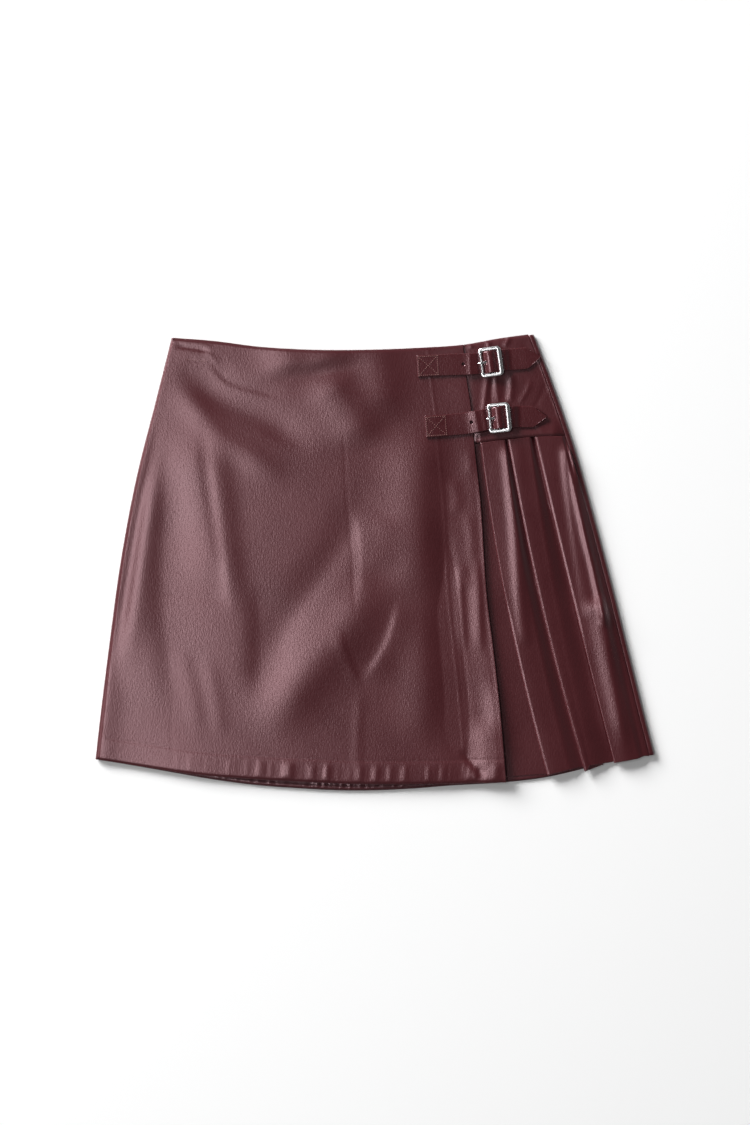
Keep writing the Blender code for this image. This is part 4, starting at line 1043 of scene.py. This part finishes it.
# The tongue, columns: distance from the centre bar, height over the yoke, half thickness
PRONG_TONGUE = (
    (-0.7, 3.3, 0.3), (-2.6, 3.3, 0.32), (-4.4, 3.65, 0.45), (-6.2, 4.25, 0.55),
    (-7.8, 4.6, 0.6), (-9.2, 4.75, 0.6), (-10.6, 4.7, 0.58), (-11.6, 4.55, 0.5),
    (-12.3, 4.42, 0.34),
)
HALF_LENGTH = (BUCKLE_WIDTH - BAR_WIDTH) / 2     # from the centre bar to the sides' middles
HALF_ACROSS = (BUCKLE_HEIGHT - RAIL_WIDTH) / 2   # and to the rails' middles
ROLLER_SEAT = ROLLER_LENGTH / 2 * 1.06


def polished_steel():
    """Bright nickel-plated steel with faint wear in its gloss."""
    made, wire, shader = new_material("polished_steel")
    place = wire.node("ShaderNodeTexCoord", out=3)
    rub = wire.node("ShaderNodeTexNoise", {}, {"Vector": place, "Scale": 420.0, "Detail": 3.0})
    spots = wire.node("ShaderNodeTexNoise", {}, {"Vector": place, "Scale": 90.0, "Detail": 2.0})
    spots.colours((0.84, 0.84, 0.85), (0.93, 0.93, 0.94)).to(shader.inputs["Base Color"])
    (0.22 + 0.08 * rub).to(shader.inputs["Roughness"])
    shader.inputs["Metallic"].default_value = 1.0
    bump = wire.node("ShaderNodeBump", {}, {"Height": rub, "Strength": 0.3, "Distance": 0.02 * MM})
    bump.to(shader.inputs["Normal"])
    return made


steel = polished_steel()


def tube(name, sections, material, closed=True):
    """A tube through a row of rings of points, capped if it isn't closed."""
    count, ring = len(sections), len(sections[0])
    faces = []
    for i in range(count if closed else count - 1):
        k = (i + 1) % count
        for j in range(ring):
            m = (j + 1) % ring
            faces.append((i * ring + j, k * ring + j, k * ring + m, i * ring + m))
    if not closed:
        faces.append(tuple(range(ring)))
        faces.append(tuple(reversed(range((count - 1) * ring, count * ring))))
    made = object_of(name, np.concatenate(sections), faces, material)
    made.data.set_sharp_from_angle(angle=math.radians(50))
    return made


def oval(centre, side, up, half_side, half_up, count=16, squareness=1.0):
    """A ring of points round centre; squareness below 1 flattens its faces."""
    angles = 2 * math.pi * (np.arange(count) + 0.5) / count
    c, s = np.cos(angles), np.sin(angles)
    c, s = np.sign(c) * abs(c) ** squareness, np.sign(s) * abs(s) ** squareness
    return centre + np.outer(c * half_side, side) + np.outer(s * half_up, up)


def frame_z(s):
    """Height of the frame's middle at s; it lies tilted on its tab."""
    return FRAME_LEFT_Z + (FRAME_RIGHT_Z - FRAME_LEFT_Z) * (s + HALF_LENGTH) / (2 * HALF_LENGTH)


def buckle_frame(fastening):
    """The frame: one closed ring, thin inside the roller and bevelled elsewhere."""
    stations = []
    for quarter, (sign_s, sign_t) in enumerate(((1, 1), (-1, 1), (-1, -1), (1, -1))):
        for angle in np.linspace(0.0, 90.0, 10):
            turned = math.radians(90 * quarter + angle)
            out_s, out_t = FRAME_CORNER * math.cos(turned), FRAME_CORNER * math.sin(turned)
            stations.append((sign_s * (HALF_LENGTH - FRAME_CORNER) + out_s,
                             sign_t * (HALF_ACROSS - FRAME_CORNER) + out_t, turned))
        if quarter == 1:
            for t in (1, 0.97, 0.96, 0, -0.96, -0.97, -1):
                stations.append((-HALF_LENGTH, t * ROLLER_SEAT, math.pi))
    sections = []
    for s, t, turned in stations:
        side = fastening.along * math.cos(turned) + fastening.across * math.sin(turned)
        width = BAR_WIDTH + (RAIL_WIDTH - BAR_WIDTH) * abs(math.sin(turned))
        half_width, half_thick = width / 2, FRAME_THICK / 2
        if s < 0 and abs(t) < 0.965 * ROLLER_SEAT:
            half_width = half_thick = ROLLER_CORE
        sections.append(oval(fastening.place(s, t, frame_z(s)), side, fastening.up,
                             half_width, half_thick, squareness=0.62))
    return tube(f"frame_{fastening.name}_steel", sections, steel)


def centre_bar(fastening):
    """The bar the prong hangs on, bent up into the rails at its two ends."""
    bend = ((0.0, frame_z(0.0), 90), (0.0, CENTRE_BAR_Z + 0.7, 70), (0.8, CENTRE_BAR_Z, 30),
            (2.0, CENTRE_BAR_Z, 0))
    places = [(inwards - HALF_ACROSS, z, tilt) for inwards, z, tilt in bend]
    places += [(-t, z, -tilt) for t, z, tilt in reversed(places)]
    sections = []
    for t, z, tilt in places:
        angle = math.radians(tilt)
        outward = fastening.across * math.sin(angle) + fastening.up * math.cos(angle)
        sections.append(oval(fastening.place(0.0, t, z), fastening.along, outward,
                             CENTRE_BAR, CENTRE_BAR))
    return tube(f"centre_bar_{fastening.name}_steel", sections, steel, closed=False)


def roller(fastening):
    """A short tube round the frame's left side, with rolled ends."""
    half = ((1.0, 0.82), (0.99, 0.93), (0.97, 1.0), (0.5, 1.0))
    sections = []
    for t, share in (*half, *((-t, share) for t, share in reversed(half))):
        centre = fastening.place(-HALF_LENGTH, t * ROLLER_LENGTH / 2, FRAME_LEFT_Z)
        radius = ROLLER_RADIUS * share
        sections.append(oval(centre, fastening.along, fastening.up, radius, radius, 24)[::-1])
    return tube(f"roller_{fastening.name}_steel", sections, steel, closed=False)


def prong(fastening):
    """A strip bent round the centre bar, its tongue lying on the roller."""
    path = [(PRONG_RING * math.cos(a), CENTRE_BAR_Z + PRONG_RING * math.sin(a), PRONG_TONGUE[0][2])
            for a in np.radians(np.linspace(200.0, 440.0, 21))]
    lengths, tables = by_distance([*path, *PRONG_TONGUE])
    spots = np.linspace(0.0, lengths[-1], 70)
    s, z, half = (smooth(table, spots) for table in tables)
    run_s, run_z = np.gradient(s), np.gradient(z)
    sections = []
    for k in range(len(spots)):
        outward = fastening.along * run_z[k] - fastening.up * run_s[k]
        outward /= np.linalg.norm(outward)
        narrow = 1.0 - 0.45 * float(step_up(*PRONG_NARROWS, s[k]))
        sections.append(oval(fastening.place(s[k], 0.0, z[k]), fastening.across, outward,
                             PRONG_WIDTH / 2 * narrow, half[k], squareness=0.7))
    return tube(f"prong_{fastening.name}_steel", sections, steel, closed=False)


def buckle_tab(fastening):
    """The tab looped round the centre bar, slotted for the prong."""
    eye = CENTRE_BAR + SEAM_GAP + TAB_THICK
    low = CENTRE_BAR_Z - eye
    top = low + 2 * TAB_THICK + SEAM_GAP
    path = [(TAB_LENGTH, low), (11.0, low), (9.0, low), (5.0, low), (2.2, low)]
    path += [(eye * math.cos(a), CENTRE_BAR_Z + eye * math.sin(a))
             for a in np.radians(np.linspace(-90.0, -315.0, 19))]
    path += [(3.2, 2.35), (4.6, top + 0.05), (6.5, top), (9.0, top), (11.0, top),
             (TAB_LENGTH, top)]
    slot = PRONG_WIDTH / 2 + 0.5
    lanes = np.linspace(TAB_WIDTH / 2, slot, 5)
    lanes = np.concatenate([lanes, -lanes[::-1]])
    outer = np.array([[fastening.place(s, t, z) for t in lanes] for s, z in path])
    cut = {(k, 4) for k in range(3, len(path) - 5)}
    return shell(f"tab_{fastening.name}_leather", outer, TAB_THICK, strap_leather, cut=cut)


for fastening in fastenings:
    name = fastening.name
    wear(buckle_frame(fastening), "metal", f"buckle_frame_{name}")
    wear(centre_bar(fastening), "metal", f"buckle_frame_{name}")
    wear(roller(fastening), "metal")
    wear(prong(fastening), "metal", f"buckle_prong_{name}")
    wear(buckle_tab(fastening), "strap_leather", f"buckle_tab_{name}")

# ---- Stitching ------------------------------------------------------------------------
# Thread a shade lighter than the leather: the crossed boxes that hold the straps, and a
# short bar tack at the left of the waist.
STITCH_PITCH = 2.0
STITCH_LENGTH = 1.5
THREAD = 0.50                    # thickness
BOX_LENGTH = 20.0
BOX_INSET = 1.6
BOX_RISE = 0.06                  # how far the thread's middle lies over the leather
TACK_ENDS = (-182.0, -163.0)
TACK_Y = 196.5
TACK_SLOPE = 0.1
TACK_RISE = 0.05
TACK_PITCH = 1.6
TACK_LENGTH = 1.2
STITCH_SEED = 3


def sewing_thread():
    """Twisted polyester thread, matt, a little uneven in colour."""
    made, wire, shader = new_material("sewing_thread")
    place = wire.node("ShaderNodeTexCoord", out=3)
    twist = wire.node("ShaderNodeTexNoise", {}, {"Vector": place, "Scale": 1500.0, "Detail": 2.0})
    twist.colours((0.15, 0.058, 0.055), (0.28, 0.13, 0.115)).to(shader.inputs["Base Color"])
    shader.inputs["Roughness"].default_value = 0.6
    bump = wire.node("ShaderNodeBump", {},
                     {"Height": twist, "Strength": 0.5, "Distance": 0.05 * MM})
    bump.to(shader.inputs["Normal"])
    return made


thread = sewing_thread()


def stitch_tree():
    """Geometry nodes that lay stitches along curves, one after another."""
    tree = bpy.data.node_groups.new("stitch_run", "GeometryNodeTree")
    face = tree.interface
    face.new_socket("Geometry", in_out="INPUT", socket_type="NodeSocketGeometry")
    for name in ("Pitch", "Length", "Thickness"):
        face.new_socket(name, in_out="INPUT", socket_type="NodeSocketFloat")
    face.new_socket("Seed", in_out="INPUT", socket_type="NodeSocketInt")
    face.new_socket("Geometry", in_out="OUTPUT", socket_type="NodeSocketGeometry")
    wire = Wire(tree)
    run, pitch, length, thick, seed = (
        Wire(tree, socket) for socket in tree.nodes.new("NodeGroupInput").outputs[:5])
    points = wire.node("GeometryNodeResampleCurve", {"mode": "LENGTH"},
                       {"Curve": run, "Length": pitch})
    ball = wire.node("GeometryNodeMeshUVSphere", {}, {"Segments": 8, "Rings": 6, "Radius": 0.5})
    size = wire.node("ShaderNodeCombineXYZ", {}, {"X": length, "Y": thick, "Z": thick})
    stitch = wire.node("GeometryNodeTransform", {}, {"Geometry": ball, "Scale": size})
    along = wire.node("GeometryNodeInputTangent")
    turn = wire.node("FunctionNodeAlignRotationToVector", {"axis": "X"}, {"Vector": along})
    slack = wire.node("FunctionNodeRandomValue", {"data_type": "FLOAT_VECTOR"},
                      {0: (-0.04, -0.04, -0.07), 1: (0.04, 0.04, 0.07), "Seed": seed})
    turned = wire.node("FunctionNodeRotateRotation", {}, {"Rotation": turn, "Rotate By": slack})
    laid = wire.node("GeometryNodeInstanceOnPoints", {},
                     {"Points": points, "Instance": stitch, "Rotation": turned})
    whole = wire.node("GeometryNodeRealizeInstances", {}, {"Geometry": laid})
    rounded = wire.node("GeometryNodeSetShadeSmooth", {}, {"Geometry": whole})
    dressed = wire.node("GeometryNodeSetMaterial", {}, {"Geometry": rounded, "Material": thread})
    dressed.to(tree.nodes.new("NodeGroupOutput").inputs[0])
    return tree


STITCHES = stitch_tree()


def sewn(name, runs, pitch=STITCH_PITCH, length=STITCH_LENGTH):
    """Stitches along runs of points in millimetres, as one mesh."""
    curve = bpy.data.curves.new(name, "CURVE")
    curve.dimensions = "3D"
    for run in runs:
        spline = curve.splines.new("POLY")
        spline.points.add(len(run) - 1)
        for point, place in zip(spline.points, run):
            point.co = (*(place * MM), 1.0)
    guide = add(name + "_guide", curve)
    modifier = guide.modifiers.new("stitches", "NODES")
    modifier.node_group = STITCHES
    values = {"Pitch": pitch * MM, "Length": length * MM, "Thickness": THREAD * MM,
              "Seed": STITCH_SEED}
    for item in STITCHES.interface.items_tree:
        if item.in_out == "INPUT" and item.name in values:
            modifier[item.identifier] = values[item.name]
    evaluated = guide.evaluated_get(bpy.context.evaluated_depsgraph_get())
    mesh = bpy.data.meshes.new_from_object(evaluated)
    mesh.name = name
    guide.modifiers.remove(modifier)
    bpy.data.objects.remove(guide)
    return wear(add(name, mesh), "thread")


def straight(start, end):
    """Places s, t along a straight run on a strap."""
    share = np.linspace(0.0, 1.0, 24)
    return between(start[0], end[0], share), between(start[1], end[1], share)


for fastening in fastenings:
    near, far = BOX_INSET, BOX_LENGTH
    side = STRAP_WIDTH / 2 - BOX_INSET
    corners = ((near, side), (far, side), (far, -side), (near, -side))
    lines = [*zip(corners, corners[1:] + corners[:1]), corners[::2], corners[1::2]]
    sewn(f"box_stitches_{fastening.name}",
         [fastening.on_strap(*straight(*line), rise=BOX_RISE) for line in lines])

tack_x = np.linspace(*TACK_ENDS, 20)
tack_y = TACK_Y - TACK_SLOPE * (tack_x - TACK_ENDS[0])
tack = np.stack([tack_x, tack_y, front_surface(tack_x, tack_y) + TACK_RISE], axis=-1)
sewn("waist_tack_stitches", [tack], TACK_PITCH, TACK_LENGTH)
